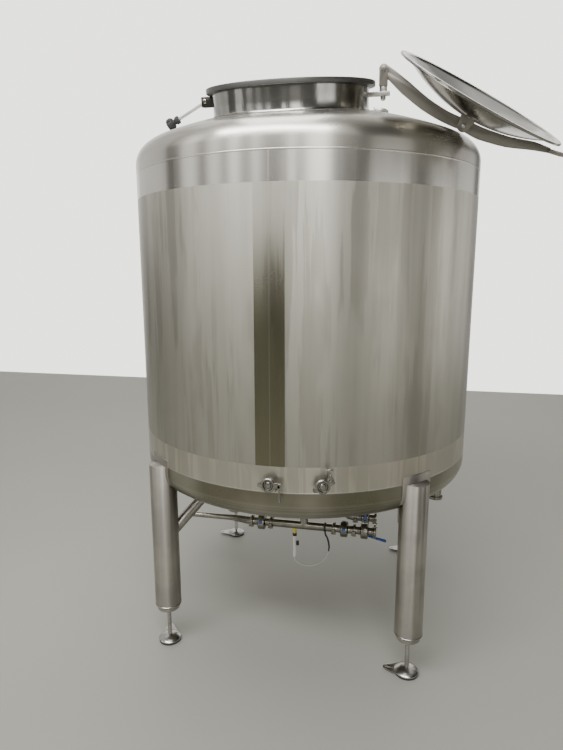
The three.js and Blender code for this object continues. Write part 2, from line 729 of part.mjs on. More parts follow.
// A clamp closes over two ferrules. Its ring is part of the turned profile that
// it sits on: from a face outward, over the neighbour's ferrule, and back in
function clampRing(ring, ferrule, face, far, near) {
  const lean = far > near ? CHAMFER : -CHAMFER;
  return [
    [ferrule + GAP, face], [ferrule + GAP, far], [ring - CHAMFER, far], [ring, far - lean],
    [ring, near + lean], [ring - CHAMFER, near],
  ];
}

// What stands out of the ring: hinge lug, and a bolt with its wing nut
function clampTabs(ring, width) {
  const lug = box(9, 9, width - 2, -ring - 1, 0, 0);
  const boss = box(12, 14, width - 2, ring + 1, 0, 0);
  const bolt = along(rod(3, -10, CLAMP_REACH - 14, 8), 'y').translate(ring + 1, 0, 0);
  const nut = along(rod(5.5, 6.5, 15, 6), 'y').translate(ring + 1, 0, 0);
  const wing = box(4, 9, 26, ring + 1, 14, 0);
  return [lug, boss, bolt, nut, wing];
}

// Blind connections: stub with its ferrule, then cap and clamp
BLIND_ANGLES.forEach((angle, i) => {
  const spot = new THREE.Group();
  spot.position.set(0, 0, BLIND_Z);
  spot.rotation.z = angle * DEG;
  tank.add(spot);
  const joint = SHELL_RADIUS + BLIND_REACH - 6;
  const saddle = rod(SHELL_RADIUS + GAP, -60, 60, SIDES).rotateZ(-angle * DEG);
  const stub = along(turned([
    [BLIND_NECK - BLIND_WALL, SHELL_RADIUS - 12], [BLIND_NECK, SHELL_RADIUS - 12], [BLIND_NECK, joint - 4],
    [BLIND_FERRULE, joint - 3], [BLIND_FERRULE, joint], [BLIND_NECK - BLIND_WALL, joint],
  ], CLAMP_SIDES), 'x');
  place(spot, `blind_stub_${i + 1}`, carve([stub], [saddle]), brushed());
  const low = joint - 5;
  const high = joint + 7;
  const cap = turned([
    [0, joint + GAP], ...clampRing(BLIND_CLAMP, BLIND_FERRULE, joint + GAP, low, high),
    [BLIND_FERRULE - 2, high], [BLIND_FERRULE - 4, high - BLIND_DISH],
    [BLIND_NECK - 2, high - BLIND_DISH], [BLIND_NECK - 5, high - 2], [0, high - 2],
  ], CLAMP_SIDES);
  const tabs = clampTabs(BLIND_CLAMP, high - low)
    .map((piece) => piece.rotateX(i === 0 ? Math.PI : 0).rotateZ(Math.PI / 2 + (i === 0 ? 0 : 0.44))
      .translate(0, 0, joint + 1));
  place(spot, `blind_clamp_${i + 1}`, along(carve([cap, ...tabs]), 'x'), polished());
});

// Pipework: ferrule ends meet at the clamps
function ferruleEnd(outer, from, to) {
  const lean = to > from ? 1 : -1;
  return [
    [outer, to - lean * (FERRULE_THICKNESS + 4)],
    [FERRULE, to - lean * FERRULE_THICKNESS],
    [FERRULE, to - lean * (GAP / 2)],
  ];
}

function straightPipe(outer, from, to, endFrom = true, endTo = true) {
  const bore = outer - PIPE_WALL;
  const low = endFrom ? ferruleEnd(outer, to, from).reverse() : [[outer, from]];
  const high = endTo ? ferruleEnd(outer, from, to) : [[outer, to]];
  const first = low[0][1];
  const last = high[high.length - 1][1];
  return turned([[bore, first], ...low, ...high, [bore, last]], PIPE_SIDES);
}

const line = new THREE.Group();
line.position.set(0, 0, PIPE_Z);
tank.add(line);

function mainPipe() {
  const run = along(straightPipe(PIPE, CLAMP_1B, CLAMP_2A), 'x');
  const stub = straightPipe(PIPE, 0, TEE_RISE, false, true);
  const runBore = along(rod(PIPE - PIPE_WALL, CLAMP_1B - 10, CLAMP_2A + 10, PIPE_SIDES), 'x');
  const stubBore = rod(PIPE - PIPE_WALL, 0, TEE_RISE + 10, PIPE_SIDES);
  return carve([run, stub], [runBore, stubBore]);
}
place(line, 'main_pipe', mainPipe(), polished());

// The cone leans so that the wide and the thin pipe share one straight top line
function reducer() {
  const wide = PIPE - PIPE_WALL;
  const thin = THIN_PIPE - PIPE_WALL;
  const end = CLAMP_1A - REDUCER_LENGTH;
  const start = end + REDUCER_CONE;
  const low = [[thin, THIN_END], [THIN_PIPE, THIN_END], [THIN_PIPE, end], [PIPE, start]];
  const face = ferruleEnd(PIPE, THIN_END, CLAMP_1A);
  const pipe = along(turned([
    ...low, ...face, [wide, CLAMP_1A - GAP / 2], [wide, start], [thin, end],
  ], PIPE_SIDES), 'x');
  const points = pipe.getAttribute('position');
  for (let i = 0; i < points.count; i++) {
    const share = THREE.MathUtils.clamp((start - points.getX(i)) / REDUCER_CONE, 0, 1);
    points.setZ(i, points.getZ(i) + share * (PIPE - THIN_PIPE));
  }
  return pipe;
}
place(line, 'reducer_and_thin_pipe', reducer(), polished());

// Valve: body with ferrule ends, its stem through both sides with the open disc,
// and the clamps on its ends
function valve(centre, tilt, clamps, capped) {
  const bore = PIPE - PIPE_WALL;
  const half = VALVE_WIDTH / 2;
  const edge = VALVE_PITCH / 2;
  const face = edge - GAP / 2;
  const near = edge - CLAMP_WIDTH / 2;
  const far = edge + CLAMP_WIDTH / 2;
  const plain = [[bore, face], [FERRULE, face], [FERRULE, face - 3], [PIPE, face - 7]];
  const ring = clampRing(CLAMP, FERRULE, face, far, near);
  const clamped = [[bore, face], ...ring, [PIPE, near]];
  const cap = [[0, face + 5], [FERRULE, face + 5], [FERRULE, far], ...ring.slice(2), [PIPE, near]];
  const middle = [[PIPE, half + 3], [VALVE_BODY - 4, half], [VALVE_BODY, half - 3]];
  const sides = [1, -1].map((side) => {
    if (side > 0 && capped) return [...cap, ...middle];
    return [...(side in clamps ? clamped : plain), ...middle];
  });
  const inside = capped ? [[bore, face], [0, face]] : [];
  const body = along(turned([...sides[0], ...sides[1].map(flip).reverse(), ...inside], CLAMP_SIDES), 'x');
  const stem = along(rod(STEM_RADIUS, -VALVE_BODY - 5, VALVE_BODY + STEM_PROUD, 10), 'y').rotateX(tilt);
  const disc = rod(bore - 1, -VALVE_DISC / 2, VALVE_DISC / 2, PIPE_SIDES).rotateX(tilt);
  const tabs = Object.entries(clamps).flatMap(([side, turn]) => clampTabs(CLAMP, CLAMP_WIDTH)
    .map((piece) => along(piece, 'x').rotateX(turn).translate(Number(side) * edge, 0, 0)));
  return carve([body, stem, disc, ...tabs]).translate(centre, 0, 0);
}

// Lever on the stem's far end: hub and a bent grip, in a plane square to the stem
function lever(turn) {
  const grip = new THREE.Shape();
  const tip = LEVER_LENGTH - LEVER_TIP;
  grip.moveTo(0, -LEVER_TIP + 2);
  grip.lineTo(tip, -LEVER_TIP);
  grip.absarc(tip, 0, LEVER_TIP, -Math.PI / 2, Math.PI / 2, false);
  grip.lineTo(0, LEVER_TIP - 2);
  grip.absarc(0, 0, LEVER_HUB, Math.PI / 2, (3 * Math.PI) / 2, false);
  return upright(grip, LEVER_THICKNESS, 4).rotateY(turn)
    .translate(0, VALVE_BODY + STEM_PROUD + GAP + LEVER_THICKNESS / 2, 0);
}

const valves = [
  { n: 1, x: VALVE_1, y: 0, tilt: -STEM_LEAN, turn: 0, clamps: { '-1': DOWN, 1: DOWN } },
  { n: 2, x: VALVE_2, y: 0, tilt: -STEM_LEAN, turn: 180, clamps: { '-1': DOWN, 1: DOWN } },
  { n: 3, x: VALVE_3, y: 0, tilt: -LOW_STEM, turn: 12, clamps: { 1: Math.PI }, capped: true },
  { n: 4, x: VALVE_4, y: SECOND_Y, tilt: Math.PI - STEM_LEAN, turn: 90, clamps: { '-1': DOWN, 1: DOWN }, capped: true },
];
for (const { n, x, y, tilt, turn, clamps, capped } of valves) {
  const spot = new THREE.Group();
  spot.position.set(0, y, 0);
  line.add(spot);
  place(spot, `valve_${n}`, valve(x, tilt, clamps, capped), polished());
  const arm = new THREE.Group();
  arm.position.set(x, y, 0);
  arm.rotation.x = tilt;
  line.add(arm);
  place(arm, `valve_lever_${n}`, lever(turn * DEG), bluePlastic());
}

// Bottom outlet down to the tee, with its clamp
function outlet() {
  const top = SHELL_BOTTOM - headHeight(CROWN_BOTTOM, OUTLET) - GAP - 0.2;
  const low = PIPE_Z + TEE_RISE + GAP / 2;
  const bore = PIPE - PIPE_WALL;
  const far = low - CLAMP_WIDTH / 2;
  const near = low + CLAMP_WIDTH / 2;
  const body = turned([
    [bore, low], ...clampRing(CLAMP, FERRULE, low, far, near), [PIPE, near], [PIPE, low + 40],
    [OUTLET, low + 80], [OUTLET, top], [OUTLET - PIPE_WALL, top], [OUTLET - PIPE_WALL, low + 80],
    [bore, low + 40],
  ], PIPE_SIDES);
  const tabs = clampTabs(CLAMP, CLAMP_WIDTH).map((piece) => piece.translate(0, 0, low));
  return carve([body, ...tabs]);
}
place(tank, 'bottom_outlet', outlet(), polished());

// Second outlet: down from the head, round a bend and along to its valve
function secondOutlet() {
  const top = SHELL_BOTTOM - headHeight(CROWN_BOTTOM, Math.hypot(SECOND_X, SECOND_Y)) + 6;
  const end = VALVE_4 - VALVE_PITCH / 2;
  const ring = (radius) => {
    const shape = new THREE.Shape();
    shape.absarc(0, 0, radius, 0, 2 * Math.PI, false);
    return shape;
  };
  const route = new THREE.CurvePath();
  const corner = new THREE.Vector3(SECOND_X, SECOND_Y, PIPE_Z);
  const high = corner.clone().add(new THREE.Vector3(0, 0, SECOND_BEND));
  const far = corner.clone().add(new THREE.Vector3(SECOND_BEND, 0, 0));
  route.add(new THREE.LineCurve3(new THREE.Vector3(SECOND_X, SECOND_Y, top), high));
  route.add(new THREE.QuadraticBezierCurve3(high, corner, far));
  const sweep = (radius) => new THREE.ExtrudeGeometry(ring(radius), {
    steps: 10, curveSegments: 8, bevelEnabled: false, extrudePath: route,
  });
  const tail = along(straightPipe(PIPE, far.x - 0.5, end, false, true), 'x')
    .translate(0, SECOND_Y, PIPE_Z);
  const tailBore = along(rod(PIPE - PIPE_WALL, far.x - 0.4, end + 5, PIPE_SIDES), 'x')
    .translate(0, SECOND_Y, PIPE_Z);
  return carve([sweep(PIPE), tail], [sweep(PIPE - PIPE_WALL), tailBore, vesselSolid(GAP)]);
}
place(tank, 'second_outlet', secondOutlet(), polished());

// Side connection under the head's edge, with its cap
function sideNozzle() {
  const [x, y] = SIDE_NOZZLE;
  const low = SIDE_NOZZLE_LOW;
  const body = turned([
    [0, low], [SIDE_CAP, low], [SIDE_CAP, low + 12], [OUTLET, low + 16], [OUTLET, low + 130],
    [OUTLET - PIPE_WALL, low + 130], [OUTLET - PIPE_WALL, low + 5], [0, low + 5],
  ], 24).translate(x, y, 0);
  return carve([body], [vesselSolid(GAP)]);
}
place(tank, 'side_nozzle', sideNozzle(), polished());

// Vent connection on the top head, with its cap and clamp
function vent() {
  const [x, y] = VENT;
  const foot = SHELL_TOP + headHeight(CROWN_TOP, Math.hypot(x, y));
  const joint = foot + VENT_RISE;
  const low = joint - CLAMP_WIDTH / 2;
  const high = joint + CLAMP_WIDTH / 2;
  const stub = turned([
    [PIPE - PIPE_WALL, foot - 20], [PIPE, foot - 20], [PIPE, low], [CLAMP - CHAMFER, low],
    [CLAMP, low + CHAMFER], [CLAMP, high - CHAMFER], [CLAMP - CHAMFER, high], [FERRULE - 2, high],
    [FERRULE - 4, high - 2], [0, high - 2], [0, joint], [PIPE - PIPE_WALL, joint],
  ], PIPE_SIDES);
  const tabs = clampTabs(CLAMP, CLAMP_WIDTH)
    .map((piece) => piece.rotateZ(200 * DEG).translate(0, 0, joint));
  const dome = turned([...headOutline(CROWN_TOP, GAP + 0.1).reverse(), [0, 0]], SIDES)
    .translate(-x, -y, SHELL_TOP);
  return carve([carve([stub], [dome]), ...tabs]).translate(x, y, 0);
}
place(tank, 'vent_nozzle', vent(), polished());

// Sensor under the main pipe: fitting, white body, cable clip and the hanging cable
const probeTop = PIPE_Z - PIPE - GAP;
place(tank, 'probe_fitting', carve([turned([
  [0, PROBE_FITTING_LOW], [10, PROBE_FITTING_LOW], [10, probeTop - 2], [8, probeTop + 6], [0, probeTop + 6],
], 12).translate(PROBE_X, 0, 0)], [
  along(rod(PIPE + GAP, -200, 200, PIPE_SIDES), 'x').translate(0, 0, PIPE_Z),
]), material(0xb9b020, 0.5, 0));
place(tank, 'probe_collar', rod(PROBE_COLLAR, PROBE_COLLAR_LOW, PROBE_FITTING_LOW - GAP, PIN_SIDES)
  .translate(PROBE_X, 0, 0), blackPlastic());
place(tank, 'probe_body', turned([
  [0, PROBE_LOW], [PROBE_RADIUS - 2, PROBE_LOW], [PROBE_RADIUS, PROBE_LOW + 12],
  [PROBE_RADIUS, PROBE_COLLAR_LOW - GAP], [0, PROBE_COLLAR_LOW - GAP],
], PIN_SIDES).translate(PROBE_X, 0, 0), material(0xe6e5e0, 0.45, 0));
place(tank, 'probe_clip', carve([
  box(14, 10, 24, PROBE_X + 15.5, 0, 256),
], [rod(PROBE_RADIUS + GAP, 200, 290, PIN_SIDES).translate(PROBE_X, 0, 0)]), blackPlastic());

function cable() {
  const section = new THREE.Shape();
  section.absarc(0, 0, CABLE_RADIUS, 0, 2 * Math.PI, false);
  const route = new THREE.CatmullRomCurve3(CABLE_ROUTE.map((point) => new THREE.Vector3(...point)));
  return new THREE.ExtrudeGeometry(section, {
    steps: 34, curveSegments: 4, bevelEnabled: false, extrudePath: route,
  });
}
place(tank, 'probe_cable', cable(), blackPlastic());
place(tank, 'cable_clip', carve([
  along(tube(PIPE + 3, PIPE + GAP, -5, 5, PIPE_SIDES), 'x').translate(CABLE_CLIP_X, 0, PIPE_Z),
  rod(4, CABLE_CLIP_LOW, PIPE_Z - PIPE - 1, 10).translate(CABLE_CLIP_X, 0, 0),
]), blackPlastic());

const part = new THREE.Group();
part.add(tank);

export default part;
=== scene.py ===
import json
from math import acos, atan2, cos, pi, radians, sin, sqrt

import bmesh
import bpy
from bpy.props import FloatProperty, FloatVectorProperty, IntProperty, PointerProperty
from mathutils import Matrix, Vector

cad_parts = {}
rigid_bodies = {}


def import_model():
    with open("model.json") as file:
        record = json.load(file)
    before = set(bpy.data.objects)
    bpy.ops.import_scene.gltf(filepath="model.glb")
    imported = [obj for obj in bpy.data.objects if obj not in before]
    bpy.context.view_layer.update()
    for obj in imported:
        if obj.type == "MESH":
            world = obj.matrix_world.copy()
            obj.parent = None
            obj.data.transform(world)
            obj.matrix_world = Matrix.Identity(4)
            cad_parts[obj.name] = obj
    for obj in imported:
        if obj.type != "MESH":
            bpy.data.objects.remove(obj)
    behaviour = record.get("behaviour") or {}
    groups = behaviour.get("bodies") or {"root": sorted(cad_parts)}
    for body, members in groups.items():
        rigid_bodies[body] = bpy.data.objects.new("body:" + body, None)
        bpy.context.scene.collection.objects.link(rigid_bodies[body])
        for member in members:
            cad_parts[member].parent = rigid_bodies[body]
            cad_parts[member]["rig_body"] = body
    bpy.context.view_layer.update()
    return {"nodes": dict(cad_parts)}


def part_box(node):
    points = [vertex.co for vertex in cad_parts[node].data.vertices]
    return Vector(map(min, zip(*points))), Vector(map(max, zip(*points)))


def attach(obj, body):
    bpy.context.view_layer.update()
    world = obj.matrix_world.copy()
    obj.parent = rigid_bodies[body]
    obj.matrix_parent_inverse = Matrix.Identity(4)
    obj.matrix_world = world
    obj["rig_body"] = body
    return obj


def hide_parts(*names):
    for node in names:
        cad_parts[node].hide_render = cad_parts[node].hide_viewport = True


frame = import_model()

bl_info = {
    "name": "Upright Storage Tank",
    "version": (1, 0, 0),
    "blender": (4, 5, 0),
    "location": "View3D > Sidebar > Tank",
    "description": "Builds the looks of an upright stainless steel tank with a flip-over manway lid",
    "category": "Object",
}

NODES = frame["nodes"]

# The vessel's centre line and the manway's distance from it, in the frame of the solids
CENTRE = Vector((-0.127, 0.0225, 0.0))
MANWAY_OFFSET = 0.362

# The corners with a leg, a foot and a foot pad
CORNERS = ("front_left", "front_right", "rear_right", "rear_left")


def length_property(name, description, default):
    return FloatProperty(name=name, description=description, default=default, unit="LENGTH", precision=4)


def angle_property(name, description, degrees):
    return FloatProperty(name=name, description=description, default=radians(degrees), subtype="ANGLE")


def colour_property(name, description, default):
    return FloatVectorProperty(
        name=name, description=description, default=default, subtype="COLOR", size=3, min=0.0, max=1.0
    )


class VesselSizes(bpy.types.PropertyGroup):
    radius: length_property("Radius", "Outer radius of the shell", 0.753)
    wall: length_property("Wall", "Thickness of the shell and the heads", 0.003)
    bottom: length_property("Lower Seam", "Height of the seam between the shell and the bottom head", 0.846)
    top: length_property("Upper Seam", "Height of the seam between the shell and the top head", 2.046)
    flange: length_property("Flange", "Straight part of each head next to its seam", 0.038)
    knuckle: length_property("Knuckle", "Radius of the turn at the edge of each head", 0.090)
    crown_top: length_property("Top Crown", "Radius of the top head's dish", 1.8)
    crown_bottom: length_property("Bottom Crown", "Radius of the bottom head's dish", 1.5)
    upper_band: length_property("Upper Band", "Lower edge of the polished band under the top head", 1.942)
    lower_band: length_property("Lower Band", "Upper edge of the ground band above the bottom head", 0.949)
    strip: length_property("Joint Strip", "Width of the ground strip along the shell's upright joint", 0.115)
    weld: length_property("Weld", "Half the width of the shell's weld beads", 0.003)
    sides: IntProperty(name="Sides", description="Facets around the shell", default=192, min=48, max=384)


class ManwaySizes(bpy.types.PropertyGroup):
    inner: length_property("Bore", "Inner radius of the neck and its rim", 0.295)
    outer: length_property("Neck", "Outer radius of the neck", 0.299)
    rim: length_property("Rim", "Outer radius of the rim", 0.3225)
    height: length_property("Height", "Top of the rim above the head, along the manway's axis", 0.073)
    rim_height: length_property("Rim Height", "Thickness of the rim", 0.017)
    lid: length_property("Lid", "Outer radius of the lid", 0.330)
    lid_crown: length_property("Lid Crown", "Radius of the lid's dish", 0.640)
    lid_wall: length_property("Lid Wall", "Thickness of the lid's dish", 0.0025)
    pin_height: length_property("Pin Height", "Distance of the lid's pin from the lid's rim", 0.108)
    crown_drop: length_property("Crown Drop", "Distance of the lid's pin from the middle of its dish", 0.028)
    reach: length_property("Arm Reach", "Distance between the arm's hinge and the lid's pin", 0.36032)
    hinge_x: length_property("Hinge Place", "Distance of the arm's hinge from the manway's axis", 0.352)
    hinge_z: length_property("Hinge Height", "Height of the arm's hinge above the head", 0.110)
    arm_angle: angle_property("Arm Angle", "Slope of the open arm", -34.6)
    lid_angle: angle_property("Lid Angle", "Turn of the open lid", 210)
    lid_lean: angle_property("Lid Lean", "Lean of the open lid on its pin", -9.2)


class FinishColours(bpy.types.PropertyGroup):
    satin: colour_property("Satin Steel", "Rolled sheet of the shell", (0.74, 0.715, 0.635))
    worn: colour_property("Worn Steel", "Duller patches on satin steel", (0.46, 0.44, 0.38))
    polished: colour_property("Polished Steel", "Upper band, top head and bolts", (0.64, 0.618, 0.567))
    lower: colour_property("Lower Band", "Ground band above the bottom head", (0.47, 0.445, 0.38))
    strip: colour_property("Joint Strip", "Ground strip along the upright joint", (0.20, 0.19, 0.13))
    # The bottom head's colour is darkened as painted shade, for the dark floor it reflects under the vessel
    underside_painted_shade: colour_property("Bottom Head", "Dull steel under the vessel", (0.16, 0.15, 0.105))
    weld: colour_property("Weld", "Weld beads", (0.66, 0.64, 0.58))
    leg: colour_property("Leg Steel", "Legs and struts", (0.43, 0.405, 0.365))
    neck: colour_property("Neck Steel", "Bright neck of the manway", (0.41, 0.40, 0.375))
    rim: colour_property("Rim", "Dull rim of the manway", (0.155, 0.155, 0.148))
    cast: colour_property("Cast Steel", "Arm, clevis and lid's lug", (0.18, 0.175, 0.16))
    # Dark steel of the latch lug; in the blind caps' grooves the same colour is painted shade
    dark: colour_property("Dark Steel", "Latch lug and grooves of the blind caps", (0.085, 0.083, 0.075))
    lid: colour_property("Lid Steel", "Bright dish of the lid", (0.47, 0.46, 0.435))
    fitting: colour_property("Fitting Steel", "Blind caps and their clamps", (0.36, 0.35, 0.315))
    # Pipes and valves take a darkened steel colour as painted shade under the vessel
    pipe: colour_property("Pipe Steel", "Pipes and valves under the vessel", (0.34, 0.325, 0.28))
    foot: colour_property("Foot Steel", "Feet and the welds of the legs' caps", (0.46, 0.45, 0.42))
    black: colour_property("Black Plastic", "Hand knob and clips", (0.018, 0.018, 0.02))
    grey: colour_property("Grey Plastic", "Sensor cable", (0.60, 0.60, 0.58))
    rubber: colour_property("Black Rubber", "Foot pads", (0.02, 0.02, 0.019))
    seal: colour_property("Seal", "Seal ring in the lid", (0.60, 0.59, 0.54))
    blue: colour_property("Blue Plastic", "Valve levers", (0.02, 0.045, 0.36))
    yellow: colour_property("Yellow Plastic", "Sensor fitting", (0.50, 0.44, 0.03))
    white: colour_property("White Plastic", "Sensor body", (0.72, 0.71, 0.67))


class StageSettings(bpy.types.PropertyGroup):
    floor: colour_property("Floor", "Floor colour", (0.33, 0.33, 0.29))
    light: colour_property("Surroundings", "Colour of the soft light around", (1.0, 0.985, 0.95))
    gap: FloatProperty(name="Gaps", description="Brightness between the light panels", default=0.07, min=0.0)
    wall: FloatProperty(name="Wall", description="Brightness of the plain wall behind", default=2.6, min=0.0)
    lens: FloatProperty(name="Lens", description="Focal length of the camera in millimetres", default=26.98)


# Node trees

# Width of the soft edge of a weld bead
BEAD_SOFTNESS = 0.0015


def add_node(tree, kind, **settings):
    node = tree.nodes.new(kind)
    for name, value in settings.items():
        setattr(node, name, value)
    return node


def feed(tree, socket, value):
    """Links an output to a socket, or gives the socket a plain value."""
    if isinstance(value, bpy.types.NodeSocket):
        tree.links.new(value, socket)
    elif socket.type == "RGBA":
        socket.default_value = (*value, 1.0)
    else:
        socket.default_value = value


def math_node(tree, operation, *values, clamp=False):
    node = add_node(tree, "ShaderNodeMath", operation=operation, use_clamp=clamp)
    for socket, value in zip(node.inputs, values):
        feed(tree, socket, value)
    return node.outputs[0]


def times(tree, first, second):
    return math_node(tree, "MULTIPLY", first, second)


def ramp_node(tree, value, low, high, to_low=0.0, to_high=1.0):
    """A smooth step between two values."""
    node = add_node(tree, "ShaderNodeMapRange", interpolation_type="SMOOTHSTEP")
    values = {"Value": value, "From Min": low, "From Max": high, "To Min": to_low, "To Max": to_high}
    for name, number in values.items():
        feed(tree, node.inputs[name], number)
    return node.outputs["Result"]


def mix_colour(tree, mask, first, second):
    node = add_node(tree, "ShaderNodeMix", data_type="RGBA")
    feed(tree, node.inputs[0], mask)
    feed(tree, node.inputs[6], first)
    feed(tree, node.inputs[7], second)
    return node.outputs[2]


def split_axes(tree, vector):
    axes = add_node(tree, "ShaderNodeSeparateXYZ")
    tree.links.new(vector, axes.inputs[0])
    return axes.outputs


def new_group(name, inputs, outputs):
    """A node group of named inputs with their defaults, where three numbers are a vector."""
    group = bpy.data.node_groups.new(name, "ShaderNodeTree")
    for label, default in inputs.items():
        kind = "NodeSocketVector" if isinstance(default, tuple) else "NodeSocketFloat"
        socket = group.interface.new_socket(name=label, in_out="INPUT", socket_type=kind)
        socket.default_value = default
    for label in outputs:
        group.interface.new_socket(name=label, in_out="OUTPUT", socket_type="NodeSocketFloat")
    start = group.nodes.new("NodeGroupInput")
    end = group.nodes.new("NodeGroupOutput")
    return group, start.outputs, end.inputs


def steel_grain_group(name):
    """Streaks and cloudy patches: a noise stretched by its own vector, and a broad one for wear."""
    group, given, result = new_group(
        name,
        {"Vector": (0.0, 0.0, 0.0), "Stretch": (1.0, 1.0, 1.0), "Scale": 40.0, "Patch Scale": 3.0},
        ("Streaks", "Patches"),
    )
    stretched = add_node(group, "ShaderNodeVectorMath", operation="MULTIPLY")
    group.links.new(given["Vector"], stretched.inputs[0])
    group.links.new(given["Stretch"], stretched.inputs[1])
    fine = add_node(group, "ShaderNodeTexNoise")
    fine.inputs["Detail"].default_value = 4.0
    fine.inputs["Roughness"].default_value = 0.6
    group.links.new(stretched.outputs[0], fine.inputs["Vector"])
    group.links.new(given["Scale"], fine.inputs["Scale"])
    broad = add_node(group, "ShaderNodeTexNoise")
    broad.inputs["Detail"].default_value = 3.0
    group.links.new(given["Vector"], broad.inputs["Vector"])
    group.links.new(given["Patch Scale"], broad.inputs["Scale"])
    group.links.new(ramp_node(group, fine.outputs[0], 0.3, 0.7), result["Streaks"])
    group.links.new(ramp_node(group, broad.outputs[0], 0.35, 0.65), result["Patches"])
    return group


def band_group(name):
    """1 between two values, with soft edges, and 0 outside."""
    inputs = {"Value": 0.0, "Low": 0.0, "High": 1.0, "Softness": 0.002}
    group, given, result = new_group(name, inputs, ("Mask",))
    low_end = math_node(group, "ADD", given["Low"], given["Softness"])
    high_end = math_node(group, "SUBTRACT", given["High"], given["Softness"])
    rise = ramp_node(group, given["Value"], given["Low"], low_end)
    fall = ramp_node(group, given["Value"], high_end, given["High"], 1.0, 0.0)
    group.links.new(times(group, rise, fall), result["Mask"])
    return group


def ring_group(name):
    """Rings round the upright axis, for grain that was ground round a centre."""
    group, given, result = new_group(name, {"Vector": (0.0, 0.0, 0.0), "Scale": 160.0}, ("Rings",))
    x, y, _ = split_axes(group, given["Vector"])
    squares = [math_node(group, "POWER", axis, 2.0) for axis in (x, y)]
    radius = math_node(group, "SQRT", math_node(group, "ADD", *squares))
    rings = add_node(group, "ShaderNodeTexNoise", noise_dimensions="1D")
    rings.inputs["Detail"].default_value = 3.0
    group.links.new(radius, rings.inputs["W"])
    group.links.new(given["Scale"], rings.inputs["Scale"])
    group.links.new(ramp_node(group, rings.outputs[0], 0.3, 0.7), result["Rings"])
    return group


GROUPS = {"Steel Grain": steel_grain_group, "Band": band_group, "Ring Grain": ring_group}


def use_group(tree, name, **values):
    """Places a shared group, made when first asked for, and gives its inputs their values."""
    group = bpy.data.node_groups.get(name) or GROUPS[name](name)
    node = add_node(tree, "ShaderNodeGroup", node_tree=group)
    for label, value in values.items():
        feed(tree, node.inputs[label.replace("_", " ")], value)
    return node.outputs


def grain_masks(tree, vector, scale=40.0, patch_scale=3.0, stretch=(1.0, 1.0, 1.0)):
    """The masks of streaks and patches. A stretch under 1 draws the streaks out that way."""
    return use_group(tree, "Steel Grain", Vector=vector, Stretch=stretch, Scale=scale,
                     Patch_Scale=patch_scale)


def band_mask(tree, value, low, high, softness):
    return use_group(tree, "Band", Value=value, Low=low, High=high, Softness=softness)["Mask"]


def seam_mask(tree, height):
    """The weld beads between the shell and its heads."""
    sizes = bpy.context.scene.tank_vessel
    beads = [
        band_mask(tree, height, seam - sizes.weld, seam + sizes.weld, BEAD_SOFTNESS)
        for seam in (sizes.bottom, sizes.top)
    ]
    return math_node(tree, "MAXIMUM", *beads)


def object_vector(tree, centre=(0.0, 0.0, 0.0)):
    """Object coordinates measured from a centre."""
    place = add_node(tree, "ShaderNodeTexCoord")
    shift = add_node(tree, "ShaderNodeMapping", vector_type="TEXTURE")
    shift.inputs["Location"].default_value = centre
    tree.links.new(place.outputs["Object"], shift.inputs["Vector"])
    return shift.outputs[0]


# Materials

# Depth of the bumps in steel
STEEL_BUMP_DEPTH = 0.001


def blank_material(name, metallic=0.0):
    material = bpy.data.materials.new(name)
    material.use_nodes = True
    tree = material.node_tree
    shader = tree.nodes["Principled BSDF"]
    shader.inputs["Metallic"].default_value = metallic
    return material, tree, shader


def darker(colour, share):
    return tuple(share * value for value in colour)


def brush(tree, shader, share, smear=(0.0, 0.0, 1.0)):
    """Fine grinding marks, which smear reflections along one direction."""
    lie = add_node(tree, "ShaderNodeCombineXYZ")
    for socket, value in zip(lie.inputs, smear):
        socket.default_value = value
    tree.links.new(lie.outputs[0], shader.inputs["Tangent"])
    shader.inputs["Anisotropic"].default_value = share


def add_bump(tree, shader, height, strength, distance=STEEL_BUMP_DEPTH):
    bump = add_node(tree, "ShaderNodeBump")
    bump.inputs["Strength"].default_value = strength
    bump.inputs["Distance"].default_value = distance
    tree.links.new(height, bump.inputs["Height"])
    tree.links.new(bump.outputs[0], shader.inputs["Normal"])


def steel(name, colour, roughness, worn=None, scale=60.0, stretch=(1.0, 1.0, 1.0), bump=0.06, patch=6.0,
          smear=None, share=0.7):
    """Stainless steel with a directed grain, and worn patches of a given or else a darker colour."""
    material, tree, shader = blank_material(name, metallic=1.0)
    worn = worn or darker(colour, 0.6)
    grain = grain_masks(tree, object_vector(tree), scale, patch, stretch)
    wear = math_node(tree, "ADD", times(tree, grain["Patches"], 0.6), times(tree, grain["Streaks"], 0.3))
    tree.links.new(mix_colour(tree, wear, colour, worn), shader.inputs["Base Color"])
    rough = math_node(tree, "MULTIPLY_ADD", wear, 0.08, roughness)
    tree.links.new(rough, shader.inputs["Roughness"])
    if smear:
        brush(tree, shader, share, smear)
    add_bump(tree, shader, grain["Streaks"], bump)
    return material


def plastic(name, colour, roughness):
    """Moulded plastic or rubber with fine texture and a little dust."""
    material, tree, shader = blank_material(name)
    grain = grain_masks(tree, object_vector(tree), scale=300.0, patch_scale=25.0)
    dusty = tuple(min(1.0, value * 0.8 + 0.05) for value in colour)
    dust = times(tree, grain["Patches"], 0.5)
    tree.links.new(mix_colour(tree, dust, colour, dusty), shader.inputs["Base Color"])
    rough = math_node(tree, "MULTIPLY_ADD", grain["Patches"], 0.12, roughness)
    tree.links.new(rough, shader.inputs["Roughness"])
    add_bump(tree, shader, grain["Streaks"], 0.12, distance=0.0004)
    return material


